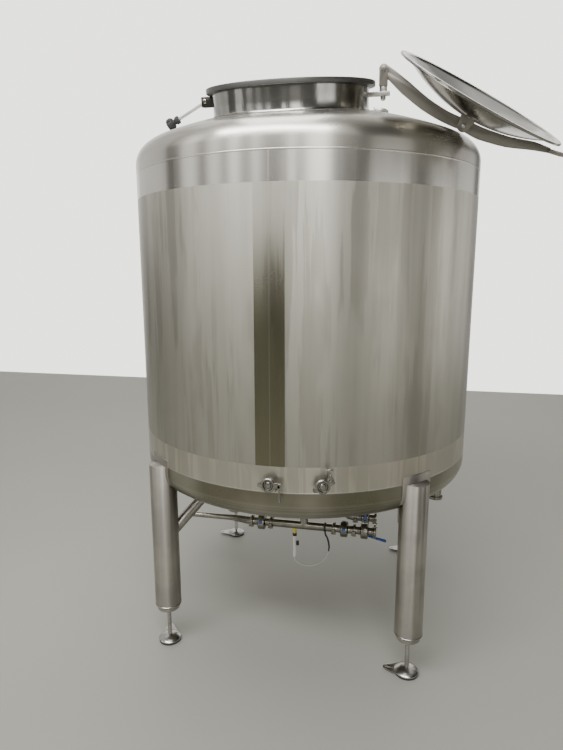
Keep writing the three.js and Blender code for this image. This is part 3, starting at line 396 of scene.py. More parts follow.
def shell_steel(name):
    """Rolled sheet with ground bands at both seams and a ground strip along the upright joint."""
    scene = bpy.context.scene
    sizes, colours = scene.tank_vessel, scene.tank_finish
    material, tree, shader = blank_material(name, metallic=1.0)
    vector = object_vector(tree, CENTRE)
    x, y, z = split_axes(tree, vector)
    grain = grain_masks(tree, vector, scale=1.6, patch_scale=2.2, stretch=(9.0, 9.0, 0.30))
    streaks = grain_masks(tree, vector, scale=1.7, stretch=(15.0, 15.0, 0.7))["Streaks"]
    blotches = grain_masks(tree, vector, scale=1.3, stretch=(2.6, 2.6, 0.8))["Streaks"]
    fine = grain_masks(tree, vector, scale=60.0, stretch=(1.0, 1.0, 14.0))["Streaks"]

    # The ground bands, and the strip, which fades out towards the upper band
    above_all = 3.0
    upper = band_mask(tree, z, sizes.upper_band, above_all, softness=0.003)
    lower = band_mask(tree, z, 0.0, sizes.lower_band, softness=0.003)
    ground = math_node(tree, "MAXIMUM", upper, lower)
    across = band_mask(tree, x, -sizes.strip / 2, sizes.strip / 2, softness=0.004)
    front = math_node(tree, "LESS_THAN", y, 0.0)
    fade = ramp_node(tree, z, low=1.42, high=1.88, to_low=1.0, to_high=0.15)
    strip = times(tree, times(tree, across, front), fade)
    strip = times(tree, strip, math_node(tree, "SUBTRACT", 1.0, ground))
    smooth = math_node(tree, "MAXIMUM", ground, strip)

    # Wear from the grain, with crisp upright streaks that come and go
    wear = math_node(tree, "ADD", times(tree, grain["Streaks"], 0.55), times(tree, grain["Patches"], 0.35),
                     clamp=True)
    crisp = ramp_node(tree, streaks, low=0.40, high=0.60)
    uneven = times(tree, crisp, ramp_node(tree, blotches, low=0.25, high=0.75))
    wear = math_node(tree, "MULTIPLY_ADD", uneven, 0.38, times(tree, wear, 0.7))
    wear = math_node(tree, "MULTIPLY_ADD", blotches, 0.25, wear, clamp=True)

    # The weld beads: the upright joint's is finer than those of the seams
    bead = band_mask(tree, x, -sizes.weld, sizes.weld, BEAD_SOFTNESS)
    bead = times(tree, bead, times(tree, front, 0.3))
    weld = math_node(tree, "MAXIMUM", bead, seam_mask(tree, z))

    # Painted shade: the sheet's colour darkens towards its bottom, standing in for less light on the lower
    # part of the shell
    painted_shade_low = ramp_node(tree, z, low=0.95, high=1.95, to_low=0.62, to_high=0.0)
    streaked = mix_colour(tree, uneven, darker(colours.lower, 0.95), darker(colours.lower, 1.16))
    colour = mix_colour(tree, wear, colours.satin, colours.worn)
    for mask, shade in (
        (painted_shade_low, darker(colours.worn, 0.5)),
        (upper, colours.polished),
        (lower, streaked),
        (strip, colours.strip),
        (times(tree, weld, 0.4), colours.weld),
    ):
        colour = mix_colour(tree, mask, colour, shade)
    tree.links.new(colour, shader.inputs["Base Color"])

    rough = 0.36
    for mask, change in ((wear, 0.07), (smooth, -0.17), (lower, 0.11), (fine, 0.03), (uneven, -0.06)):
        rough = math_node(tree, "MULTIPLY_ADD", mask, change, rough)
    tree.links.new(rough, shader.inputs["Roughness"])
    brush(tree, shader, 0.5)

    rolled = math_node(tree, "MULTIPLY_ADD", smooth, -0.8, 1.0)
    height = times(tree, times(tree, fine, 0.05), rolled)
    for mask, rise in ((weld, 1.3), (grain["Patches"], 0.05)):
        height = math_node(tree, "MULTIPLY_ADD", mask, rise, height)
    add_bump(tree, shader, height, 0.35)
    return material


def head_steel(name, colour, roughness):
    """Dished steel, ground in rings round its centre."""
    colours = bpy.context.scene.tank_finish
    material, tree, shader = blank_material(name, metallic=1.0)
    vector = object_vector(tree, CENTRE)
    rings = use_group(tree, "Ring Grain", Vector=vector, Scale=140.0)["Rings"]
    patches = grain_masks(tree, vector, patch_scale=2.5)["Patches"]
    wear = math_node(tree, "ADD", times(tree, rings, 0.25), times(tree, patches, 0.5), clamp=True)
    weld = seam_mask(tree, split_axes(tree, vector)["Z"])
    shade = mix_colour(tree, wear, colour, colours.worn)
    shade = mix_colour(tree, times(tree, weld, 0.3), shade, colours.weld)
    tree.links.new(shade, shader.inputs["Base Color"])
    tree.links.new(math_node(tree, "MULTIPLY_ADD", wear, 0.07, roughness), shader.inputs["Roughness"])
    brush(tree, shader, 0.7)
    height = math_node(tree, "MULTIPLY_ADD", weld, 1.6, times(tree, rings, 0.03))
    height = math_node(tree, "MULTIPLY_ADD", patches, 0.08, height)
    add_bump(tree, shader, height, 0.3)
    return material


def finish(name):
    """The material of a given finish, made when first asked for."""
    found = bpy.data.materials.get(name)
    if found:
        return found
    c = bpy.context.scene.tank_finish
    makers = {
        "shell_steel": lambda: shell_steel(name),
        "top_head_steel": lambda: head_steel(name, c.polished, 0.24),
        # Painted shade: the bottom head takes the darkened underside colour
        "bottom_head_steel": lambda: head_steel(name, c.underside_painted_shade, 0.27),
        "leg_steel": lambda: steel(name, c.leg, 0.38, darker(c.leg, 0.7), scale=90.0,
                                   stretch=(1.0, 1.0, 0.06), bump=0.03, smear=(0.0, 0.0, 1.0), share=0.88),
        "satin_steel": lambda: steel(name, c.satin, 0.33, c.worn, scale=120.0),
        "neck_steel": lambda: steel(name, c.neck, 0.15, scale=34.0, stretch=(1.0, 1.0, 0.12), bump=0.10,
                                    patch=9.0, smear=(0.0, -0.2, 1.0)),
        "polished_steel": lambda: steel(name, c.polished, 0.18, c.worn, scale=90.0, patch=14.0),
        # Painted shade: the pipe steel is darkened for the shade and dark reflections under the vessel
        "pipe_steel": lambda: steel(name, c.pipe, 0.20, bump=0.04, patch=14.0),
        "foot_steel": lambda: steel(name, c.foot, 0.20, scale=90.0, bump=0.04, patch=24.0),
        "fitting_steel": lambda: steel(name, c.fitting, 0.15, scale=120.0, bump=0.04, patch=30.0),
        "rim_steel": lambda: steel(name, c.rim, 0.42, darker(c.rim, 0.8), scale=160.0),
        "lid_steel": lambda: steel(name, c.lid, 0.13, scale=10.0, stretch=(1.0, 0.15, 1.0), bump=0.12,
                                   patch=5.0),
        "cast_steel": lambda: steel(name, c.cast, 0.36, darker(c.cast, 0.7), scale=240.0, bump=0.2,
                                    patch=18.0),
        # Near-black steel for the latch lug, and painted shade in the caps' grooves
        "dark_steel": lambda: steel(name, c.dark, 0.45, scale=200.0),
        "black_plastic": lambda: plastic(name, c.black, 0.38),
        "grey_plastic": lambda: plastic(name, c.grey, 0.42),
        "black_rubber": lambda: plastic(name, c.rubber, 0.68),
        "seal_rubber": lambda: plastic(name, c.seal, 0.55),
        "blue_plastic": lambda: plastic(name, c.blue, 0.32),
        "yellow_plastic": lambda: plastic(name, c.yellow, 0.4),
        "white_plastic": lambda: plastic(name, c.white, 0.38),
    }
    return makers[name]()


# Meshes

# An edge that turns more than this stays sharp in the shading
SHARP = radians(32)

# Edges of a solid that turn less than the first are taken out, and more than the second are eased
FLAT_EDGE = radians(0.3)
EASED_EDGE = radians(40)

# Steps round the knuckle of a head and across its dish, and round small turned parts
KNUCKLE_STEPS = 12
CROWN_STEPS = 28
SMALL_SIDES = 24


def merge(bm, distance):
    bmesh.ops.remove_doubles(bm, verts=bm.verts, dist=distance)


def mark_edges(bm, angle):
    for face in bm.faces:
        face.smooth = True
    for edge in bm.edges:
        if len(edge.link_faces) == 2:
            edge.smooth = edge.calc_face_angle(0.0) < angle


def mesh_object(name, bm):
    mesh = bpy.data.meshes.new(name)
    bm.to_mesh(mesh)
    bm.free()
    made = bpy.data.objects.new(name, mesh)
    bpy.context.scene.collection.objects.link(made)
    return made


def add_piece(name, bm, look, body="tank", replaces=(), angle=SHARP, turn=True):
    """Makes an object of a mesh, gives it its finish and lets it move with its body."""
    if turn:
        bmesh.ops.recalc_face_normals(bm, faces=bm.faces)
    mark_edges(bm, angle)
    piece = mesh_object(name, bm)
    piece.data.materials.append(finish(look))
    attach(piece, body)
    if replaces:
        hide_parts(*replaces)
    return piece


def spun(corners, sides, matrix):
    """A ring, or a round solid on the axis: an outline of [radius, height] corners spun about Z."""
    bm = bmesh.new()
    verts = [bm.verts.new((r, 0.0, z)) for r, z in corners]
    line = [bm.edges.new(pair) for pair in zip(verts, verts[1:])]
    if corners[0][0] > 0:
        line.append(bm.edges.new((verts[-1], verts[0])))
    bmesh.ops.spin(bm, geom=verts + line, cent=(0, 0, 0), axis=(0, 0, 1), angle=2 * pi, steps=sides,
                   use_merge=True)
    merge(bm, 1e-6)
    bmesh.ops.transform(bm, matrix=matrix, verts=bm.verts)
    return bm


def ease(bm, edges, width):
    bmesh.ops.bevel(bm, geom=edges, offset=width, segments=2, profile=0.5, affect="EDGES", material=-1,
                    clamp_overlap=True)


def dressed(node, look, bevel=0.0, slot="satin_steel", angle=SHARP):
    """A smooth-shaded copy of a solid, with eased edges, shown in its place."""
    bm = bmesh.new()
    bm.from_mesh(NODES[node].data)
    merge(bm, 2e-5)
    bmesh.ops.dissolve_limit(bm, angle_limit=FLAT_EDGE, verts=bm.verts, edges=bm.edges)
    if bevel:
        sharp = [e for e in bm.edges if len(e.link_faces) == 2 and e.calc_face_angle(0.0) > EASED_EDGE]
        ease(bm, sharp, bevel)
    return add_piece(f"{node}_dress", bm, look, body=NODES[node]["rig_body"], replaces=[node],
                     angle=angle, turn=False)


def centre_drop(sizes, crown):
    """Distance of the dish's centre below the centres of the knuckle."""
    return sqrt((crown - sizes.knuckle) ** 2 - (sizes.radius - sizes.knuckle) ** 2)


def head_height(sizes, crown, radius):
    """Height of a head above its seam, at a distance from its middle."""
    return sizes.flange - centre_drop(sizes, crown) + sqrt(crown**2 - radius**2)


def head_line(sizes, crown, offset, hole=0.0):
    """Outline of a head from its seam to its middle, or to a hole in its middle."""
    centre = sizes.radius - sizes.knuckle
    drop = centre_drop(sizes, crown)
    turn = atan2(drop, centre)
    line = [(sizes.radius + offset, 0.0)]
    for i in range(KNUCKLE_STEPS + 1):
        a = turn * i / KNUCKLE_STEPS
        r = sizes.knuckle + offset
        line.append((centre + r * cos(a), sizes.flange + r * sin(a)))
    last = acos(hole / (crown + offset))
    for i in range(1, CROWN_STEPS + 1):
        a = turn + (last - turn) * i / CROWN_STEPS
        r = 0.0 if not hole and i == CROWN_STEPS else (crown + offset) * cos(a)
        line.append((r, sizes.flange - drop + (crown + offset) * sin(a)))
    return line


def manway_matrix():
    """Stands on the top head at the manway's middle, upright to the head."""
    sizes = bpy.context.scene.tank_vessel
    tilt = atan2(MANWAY_OFFSET, sqrt(sizes.crown_top**2 - MANWAY_OFFSET**2))
    height = sizes.top + head_height(sizes, sizes.crown_top, MANWAY_OFFSET)
    return Matrix.Translation(CENTRE + Vector((0, -MANWAY_OFFSET, height))) @ Matrix.Rotation(tilt, 4, "X")


def lid_matrix():
    """Stands on the lid's pin, turned and leaned as the open lid is."""
    s = bpy.context.scene.tank_manway
    pin = Vector((s.hinge_x + s.reach * cos(s.arm_angle), 0, s.hinge_z + s.reach * sin(s.arm_angle)))
    turn = Matrix.Rotation(s.lid_angle, 4, "Y") @ Matrix.Rotation(s.lid_lean, 4, "X")
    return manway_matrix() @ Matrix.Translation(pin) @ turn


def outward_matrix(angle, height):
    """Stands on the vessel's centre line at a height, with Z pointing out of the shell."""
    turn = Matrix.Rotation(angle, 4, "Z") @ Matrix.Rotation(radians(90), 4, "Y")
    return Matrix.Translation(CENTRE + Vector((0, 0, height))) @ turn


def cut_away(piece, cutter):
    """Takes the cutter's space out of a piece, and removes the cutter."""
    work = piece.modifiers.new("Hole", "BOOLEAN")
    work.operation = "DIFFERENCE"
    work.object = cutter
    bpy.context.view_layer.update()
    graph = bpy.context.evaluated_depsgraph_get()
    mesh = bpy.data.meshes.new_from_object(piece.evaluated_get(graph))
    old = piece.data
    piece.modifiers.clear()
    piece.data = mesh
    mesh.name = piece.name
    bpy.data.meshes.remove(old)
    bpy.data.objects.remove(cutter)


class TANK_OT_shell(bpy.types.Operator):
    """Add the shell's smooth wall in place of its plates"""

    bl_idname = "tank.shell"
    bl_label = "Shell"

    def execute(self, context):
        s = context.scene.tank_vessel
        steps = 24
        heights = [s.bottom + (s.top - s.bottom) * i / steps for i in range(steps + 1)]
        outer = [(s.radius, z) for z in heights]
        inner = [(s.radius - s.wall, z) for z in reversed(heights)]
        bm = spun(outer + inner, s.sides, Matrix.Translation(CENTRE))
        add_piece("shell_wall", bm, "shell_steel", replaces=[f"shell_plate_{k}" for k in range(1, 7)])
        return {"FINISHED"}


# Radius of the hole for the outlet in the bottom head
OUTLET_HOLE = 0.02375


class TANK_OT_heads(bpy.types.Operator):
    """Add the dished heads, with the manway's hole in the top one"""

    bl_idname = "tank.heads"
    bl_label = "Heads"

    def execute(self, context):
        s = context.scene.tank_vessel
        bm = self.dish(s, s.crown_top, 0.0, Matrix.Translation(CENTRE + Vector((0, 0, s.top))))
        top = add_piece("top_head_dish", bm, "top_head_steel", replaces=["top_head"])
        bore = context.scene.tank_manway.inner
        hole = bmesh.new()
        bmesh.ops.create_cone(hole, cap_ends=True, segments=128, radius1=bore, radius2=bore, depth=0.4,
                              matrix=manway_matrix())
        cut_away(top, mesh_object("manway_hole", hole))
        flip = Matrix.Translation(CENTRE + Vector((0, 0, s.bottom))) @ Matrix.Scale(-1, 4, (0, 0, 1))
        bm = self.dish(s, s.crown_bottom, OUTLET_HOLE, flip)
        add_piece("bottom_head_dish", bm, "bottom_head_steel", replaces=["bottom_head"])
        return {"FINISHED"}

    def dish(self, sizes, crown, hole, place):
        """A dished head of even thickness"""
        outer = head_line(sizes, crown, 0.0, hole)
        inner = head_line(sizes, crown, -sizes.wall, hole)
        return spun(outer + inner[::-1], sizes.sides, place)


# Facets round the neck, its rim and the lid
MANWAY_SIDES = 160


class TANK_OT_manway(bpy.types.Operator):
    """Add the manway's neck and rim"""

    bl_idname = "tank.manway"
    bl_label = "Manway"

    def execute(self, context):
        m = context.scene.tank_manway
        place = manway_matrix()
        under = m.height - m.rim_height
        # The neck's lower end, where a small fillet of weld meets the head
        foot = -0.0235
        bm = spun([
            (m.inner, foot), (m.outer + 0.004, foot - 0.0012), (m.outer + 0.0012, foot + 0.003),
            (m.outer, foot + 0.006), (m.outer, 0.01), (m.outer, under), (m.inner, under), (m.inner, 0.01),
        ], MANWAY_SIDES, place)
        add_piece("neck_wall", bm, "neck_steel", replaces=["manway_neck"])
        bm = spun([
            (m.inner, under), (m.rim - 0.001, under), (m.rim, under + 0.001), (m.rim, m.height - 0.0025),
            (m.rim - 0.0007, m.height - 0.0007), (m.rim - 0.0025, m.height), (m.inner + 0.002, m.height),
            (m.inner, m.height - 0.002),
        ], MANWAY_SIDES, place)
        add_piece("rim_ring", bm, "rim_steel", replaces=["manway_rim"])
        return {"FINISHED"}


# Radius of the lid's dish at its edge, and of the inner wall of the seal's groove
DISH_EDGE = 0.300
GROOVE_INNER = 0.305


class TANK_OT_lid(bpy.types.Operator):
    """Add the lid's dish and its seal"""

    bl_idname = "tank.lid"
    bl_label = "Lid"

    def execute(self, context):
        m = context.scene.tank_manway
        place = lid_matrix()
        steps = 24
        centre = -m.crown_drop - m.lid_crown
        edge = acos(sqrt(m.lid_crown**2 - DISH_EDGE**2) / m.lid_crown)
        angles = [edge * i / steps for i in range(steps + 1)]
        outer, inner = (
            [(crown * sin(a), centre + crown * cos(a)) for a in angles]
            for crown in (m.lid_crown, m.lid_crown - m.lid_wall)
        )
        low = -m.pin_height
        high = low + 0.008
        groove = low + 0.004
        groove_outer = m.lid - 0.004
        rim = [
            (DISH_EDGE + 0.0035, high + 0.003), (DISH_EDGE + 0.006, high + 0.0004), (DISH_EDGE + 0.009, high),
            (m.lid - 0.002, high), (m.lid, high - 0.002), (m.lid, low + 0.001), (m.lid - 0.001, low),
            (groove_outer, low), (groove_outer, groove), (GROOVE_INNER, groove), (GROOVE_INNER, low),
            (DISH_EDGE + 0.001, low),
        ]
        bm = spun(outer + rim + inner[::-1], MANWAY_SIDES, place)
        add_piece("lid_shell", bm, "lid_steel", body="lid", replaces=["lid_dish"])
        slack = 0.0003
        seal_inner, seal_outer = GROOVE_INNER + slack, groove_outer - slack
        bm = spun([
            (seal_inner, groove - slack), (seal_outer, groove - slack), (seal_outer, low + 0.0012),
            (groove_outer - 0.002, low + 0.0004), (GROOVE_INNER + 0.002, low + 0.0004),
            (seal_inner, low + 0.0012),
        ], MANWAY_SIDES, place)
        add_piece("lid_gasket", bm, "seal_rubber", body="lid", replaces=["lid_seal"])
        return {"FINISHED"}


# Distance of the nuts on the lid's pin from its middle, and the place of the latch pin's head
# from the manway's middle
LID_NUT_PLACE = 0.0252
LATCH_PIN_PLACE = (-0.342, -0.0173, 0.040)

# Outlines of small turned parts, each from the middle of its top to the middle of its foot
LID_NUT = ((0, 0.0036), (0.0036, 0.0033), (0.0060, 0.0018), (0.0066, 0), (0, 0))
LATCH_PIN_HEAD = ((0, 0.0068), (0.0055, 0.0064), (0.0082, 0.0046), (0.0088, 0.0022), (0.0088, 0), (0, 0))
STEM_CAP = ((0, 0.0058), (0.0062, 0.0053), (0.0086, 0.0032), (0.0090, 0.0003), (0, 0.0003))


class TANK_OT_manway_gear(bpy.types.Operator):
    """Dress the lid's arm, hinge, lugs, swing bolt and knob"""

    bl_idname = "tank.manway_gear"
    bl_label = "Manway Gear"

    def execute(self, context):
        for row in (
            ("lid_arm", "cast_steel", 0.0015, "cast_steel"),
            ("lid_lug", "cast_steel", 0.0010, "cast_steel"),
            ("hinge_clevis", "cast_steel", 0.0010, "cast_steel"),
            ("hinge_stud", "polished_steel", 0.0006, "polished_steel"),
            ("hinge_bracket", "satin_steel", 0.0010),
            ("latch_lug", "dark_steel", 0.0008, "cast_steel"),
            ("swing_bolt", "polished_steel", 0.0006, "polished_steel"),
            ("hand_knob", "black_plastic", 0.0010, "black_plastic"),
        ):
            dressed(*row)
        for side, end in ((-1, "front"), (1, "rear")):
            place = lid_matrix() @ Matrix.Translation((0, side * LID_NUT_PLACE, 0))
            place = place @ Matrix.Rotation(-side * radians(90), 4, "X")
            add_piece(f"lid_pin_nut_{end}", spun(LID_NUT, SMALL_SIDES, place), "polished_steel", body="lid")
        place = manway_matrix() @ Matrix.Translation(LATCH_PIN_PLACE) @ Matrix.Rotation(radians(90), 4, "X")
        add_piece("latch_pin_head", spun(LATCH_PIN_HEAD, SMALL_SIDES, place), "fitting_steel")
        return {"FINISHED"}


# Outer radius of the legs and the height where their end caps begin
LEG_RADIUS = 0.05715
LEG_CAP_TOP = 0.189

# The weld there: how far it stands out of the leg, half its height, and the sides of its outline
BEAD_DEPTH = 0.0014
BEAD_HEIGHT = 0.0030
BEAD_SIDES = 8


class TANK_OT_stand(bpy.types.Operator):
    """Dress the legs, feet and struts"""

    bl_idname = "tank.stand"
    bl_label = "Stand"

    def execute(self, context):
        for corner in CORNERS:
            dressed(f"leg_{corner}", "leg_steel", 0.0012, angle=radians(24))
            dressed(f"foot_{corner}", "foot_steel", 0.0010, "polished_steel")
            dressed(f"foot_pad_{corner}", "black_rubber", 0.0008, "black_rubber")
            self.weld_bead(corner)
        for side in ("front_left", "rear_left"):
            dressed(f"brace_{side}", "leg_steel")
        return {"FINISHED"}

    def weld_bead(self, corner):
        """A small weld round the leg where its end cap begins"""
        low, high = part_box(f"foot_pad_{corner}")
        middle = (Vector(low) + Vector(high)) / 2
        turns = [2 * pi * i / BEAD_SIDES for i in range(BEAD_SIDES)]
        outline = [(LEG_RADIUS + BEAD_DEPTH * cos(a), LEG_CAP_TOP + BEAD_HEIGHT * sin(a)) for a in turns]
        bm = spun(outline, 48, Matrix.Translation((middle.x, middle.y, 0)))
        add_piece(f"leg_weld_{corner}", bm, "foot_steel")


# The two blind connections: their directions from the centre line and their height
BLIND_ANGLES = (radians(-90), radians(-75.5))
BLIND_HEIGHT = 0.887

# Distances from the centre line of the groove's floor in each cap and of its clamp's middle
GROOVE_FLOOR = 0.7853
CLAMP_PLACE = 0.7865
CLAMP_THICKNESS = 0.009

# Ears, bolts and wing nuts of the two clamps, as bars: start, end, and width at each end.
# Each point is how far it lies below the clamp's centre and to the right of it.
CLAMP_BARS = (
    (((0.0, -0.024), (0.0, -0.039), 0.024, 0.013), ((0.0, 0.024), (0.0, 0.048), 0.024, 0.016),
     ((-0.004, 0.040), (0.020, 0.041), 0.011, 0.011), ((0.014, 0.041), (0.062, 0.043), 0.0060, 0.0085)),
    (((0.010, -0.021), (0.0165, -0.035), 0.024, 0.013), ((-0.010, 0.021), (-0.0205, 0.0425), 0.024, 0.016),
     ((-0.020, 0.037), (-0.046, 0.025), 0.012, 0.010), ((-0.040, 0.028), (-0.062, 0.019), 0.008, 0.008),
     ((-0.062, 0.003), (-0.0635, 0.036), 0.0060, 0.0085)),
)


class TANK_OT_connections(bpy.types.Operator):
    """Dress the blind connections and nozzles on the vessel"""

    bl_idname = "tank.connections"
    bl_label = "Connections"

    def execute(self, context):
        for k, angle in enumerate(BLIND_ANGLES, start=1):
            dressed(f"blind_stub_{k}", "fitting_steel")
            dressed(f"blind_clamp_{k}", "fitting_steel", 0.0006, "polished_steel")
            place = outward_matrix(angle, BLIND_HEIGHT)
            self.groove(k, place)
            self.wing_nut(k, place)
        dressed("side_nozzle", "pipe_steel", 0.0008, "polished_steel")
        dressed("vent_nozzle", "polished_steel", 0.0006, "polished_steel")
        return {"FINISHED"}

    def groove(self, number, place):
        """The groove round the middle of a blind cap, in near-black steel as painted shade inside it"""
        bm = spun([(0.0158, GROOVE_FLOOR), (0.0176, GROOVE_FLOOR), (0.0184, GROOVE_FLOOR + 0.0030),
                   (0.0158, GROOVE_FLOOR + 0.0008)], 32, place)
        add_piece(f"cap_groove_{number}", bm, "dark_steel")

    def wing_nut(self, number, place):
        """Ears, bolt and wing nut of a clamp, as tapered bars with eased edges"""
        bm = bmesh.new()
        for start, end, first, last in CLAMP_BARS[number - 1]:
            way = Vector(end) - Vector(start)
            middle = (Vector(end) + Vector(start)) / 2
            turn = Matrix.Translation((*middle, CLAMP_PLACE)) @ Matrix.Rotation(atan2(way.y, way.x), 4, "Z")
            made = bmesh.ops.create_cube(bm, size=1.0)["verts"]
            for vert in made:
                width = first if vert.co.x < 0 else last
                thickness = min(width, CLAMP_THICKNESS)
                vert.co = (vert.co.x * way.length, vert.co.y * width, vert.co.z * thickness)
            bmesh.ops.transform(bm, matrix=place @ turn, verts=made)
        ease(bm, bm.edges[:], 0.0015)
        add_piece(f"wing_nut_{number}", bm, "fitting_steel")


# Height of the main pipe, and the lean and length of the valves' stems in front of it
PIPE_HEIGHT = 0.358
STEM_LEAN = radians(18)
STEM_END = 0.045


class TANK_OT_pipework(bpy.types.Operator):
    """Dress the pipes, valves and levers under the vessel"""

    bl_idname = "tank.pipework"
    bl_label = "Pipework"

    def execute(self, context):
        for node in ("main_pipe", "reducer_and_thin_pipe", "bottom_outlet", "second_outlet"):
            dressed(node, "pipe_steel", slot="polished_steel")
        for k in (1, 2, 3, 4):
            dressed(f"valve_{k}", "pipe_steel", 0.0006, "polished_steel")
            dressed(f"valve_lever_{k}", "blue_plastic", 0.0012, "blue_plastic")
        for k in (1, 2):
            self.stem_cap(k)
        return {"FINISHED"}

    def stem_cap(self, number):
        """The cap on the front end of a valve's stem"""
        low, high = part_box(f"valve_{number}")
        middle = (low[0] + high[0]) / 2
        end = CENTRE + Vector((0, -STEM_END * cos(STEM_LEAN), PIPE_HEIGHT + STEM_END * sin(STEM_LEAN)))
        lean = Matrix.Rotation(radians(90) - STEM_LEAN, 4, "X")
        bm = spun(STEM_CAP, SMALL_SIDES, Matrix.Translation((middle, end.y, end.z)) @ lean)
        add_piece(f"stem_cap_{number}", bm, "blue_plastic")


# The cable's middle line from the sensor to its clip, measured from the centre line
CABLE_ROUTE = (
    (-0.049, 0.0, 0.17564), (-0.049, -0.001, 0.166), (-0.040, -0.003, 0.155), (-0.029, -0.005, 0.146),
    (-0.012, -0.007, 0.140), (0.008, -0.008, 0.137), (0.030, -0.008, 0.138), (0.052, -0.008, 0.143),
    (0.073, -0.008, 0.152), (0.093, -0.008, 0.166), (0.110, -0.007, 0.184), (0.122, -0.006, 0.206),
    (0.129, -0.005, 0.230), (0.131, -0.004, 0.255), (0.128, -0.003, 0.280), (0.121, -0.002, 0.301),
    (0.111, -0.0005, 0.318), (0.109, 0.0, 0.3312),
)

# The sleeve covers the last points of the route. Its radius, and that of its lower end.
SLEEVE_POINTS = 6
SLEEVE_RADIUS = 0.0046
SLEEVE_END = 0.0032


class TANK_OT_sensor(bpy.types.Operator):
    """Dress the sensor under the main pipe and its cable"""

    bl_idname = "tank.sensor"
    bl_label = "Sensor"

    def execute(self, context):
        for row in (
            ("probe_fitting", "yellow_plastic", 0.0005, "yellow_plastic"),
            ("probe_collar", "black_plastic", 0.0010, "black_plastic"),
            ("probe_body", "white_plastic", 0.0004, "white_plastic"),
            ("probe_clip", "black_plastic", 0.0010, "black_plastic"),
            ("cable_clip", "black_plastic", 0.0005, "black_plastic"),
        ):
            dressed(*row)
        cable = dressed("probe_cable", "grey_plastic", slot="black_plastic", angle=radians(60))
        route = [tuple(CENTRE + Vector(point)) for point in CABLE_ROUTE]
        sleeve = self.sleeve([Vector(point) for point in route[-SLEEVE_POINTS:]])
        return {"FINISHED"}

    def sleeve(self, points):
        """A black sleeve over the cable's upper end, narrowing downwards"""
        bm = bmesh.new()
        loops = []
        last = len(points) - 1
        for i, point in enumerate(points):
            way = points[min(i + 1, last)] - points[max(i - 1, 0)]
            place = Matrix.Translation(point) @ way.to_track_quat("Z", "Y").to_matrix().to_4x4()
            radius = SLEEVE_END if i == 0 else SLEEVE_RADIUS
            ring = bmesh.ops.create_circle(bm, cap_ends=i in (0, last), segments=12, radius=radius,
                                           matrix=place)
            loops.append({e for v in ring["verts"] for e in v.link_edges})
        for lower, upper in zip(loops, loops[1:]):
            bmesh.ops.bridge_loops(bm, edges=list(lower | upper))
        return add_piece("cable_sleeve", bm, "black_plastic", angle=radians(60))


# Half the width of the floor, how far it goes behind the origin, and how far it lies under the feet
FLOOR_SIZE = 9.0
FLOOR_BACK = 5.2
FLOOR_DROP = 0.0005

# Soft panels of light round the studio, which the steel reflects: the direction of the middle
# and the width, the lower and the upper edge, all in degrees, and the brightness
PANELS = (
    (102, 66, -40, 60, 1.3),
    (42, 30, -40, 16, 0.7),
    (14, 26, -40, 10, 1.8),
    (-28, 30, -40, 10, 2.2),
    (-73, 17, -3, 32, 2.9),
    (-89, 8, -3, 32, 2.3),
    (-111, 8, -4, 30, 2.0),
    (-125, 10, -5, 32, 1.9),
    (-139, 12, -6, 34, 1.3),
    (-158, 16, -8, 40, 1.1),
    (-112, 132, 12, 62, 0.8),
    (158, 54, -2, 62, 0.72),
    (62, 26, 14, 60, 0.9),
    (0, 372, 50, 130, 0.25),
    (0, 372, -40, 16, 0.10),
    (90, 150, 44, 96, 0.55),
    (38, 24, 30, 60, 0.4),
)
PANEL_SIDE_SOFTNESS = radians(3)
PANEL_END_SOFTNESS = radians(9)

# The lamps: name, place, the point that it faces, width, height and power
LAMPS = (
    ("overhead", (-0.6, -0.6, 5.2), (-0.6, -0.6, 0.0), 1.8, 2.4, 60.0),
    ("front_ceiling", (-0.75, -3.1, 4.75), (-0.13, 0.0, 2.1), 4.6, 1.1, 230.0),
)

# The camera's place, from the foot of the vessel's centre line, and how far it is turned to the
# right of straight ahead, turned up, and rolled
CAMERA_PLACE = Vector((0.4519, -2.6570, 1.6664))
CAMERA_YAW = radians(-12.09)
CAMERA_PITCH = radians(-10.95)
CAMERA_ROLL = radians(0.12)


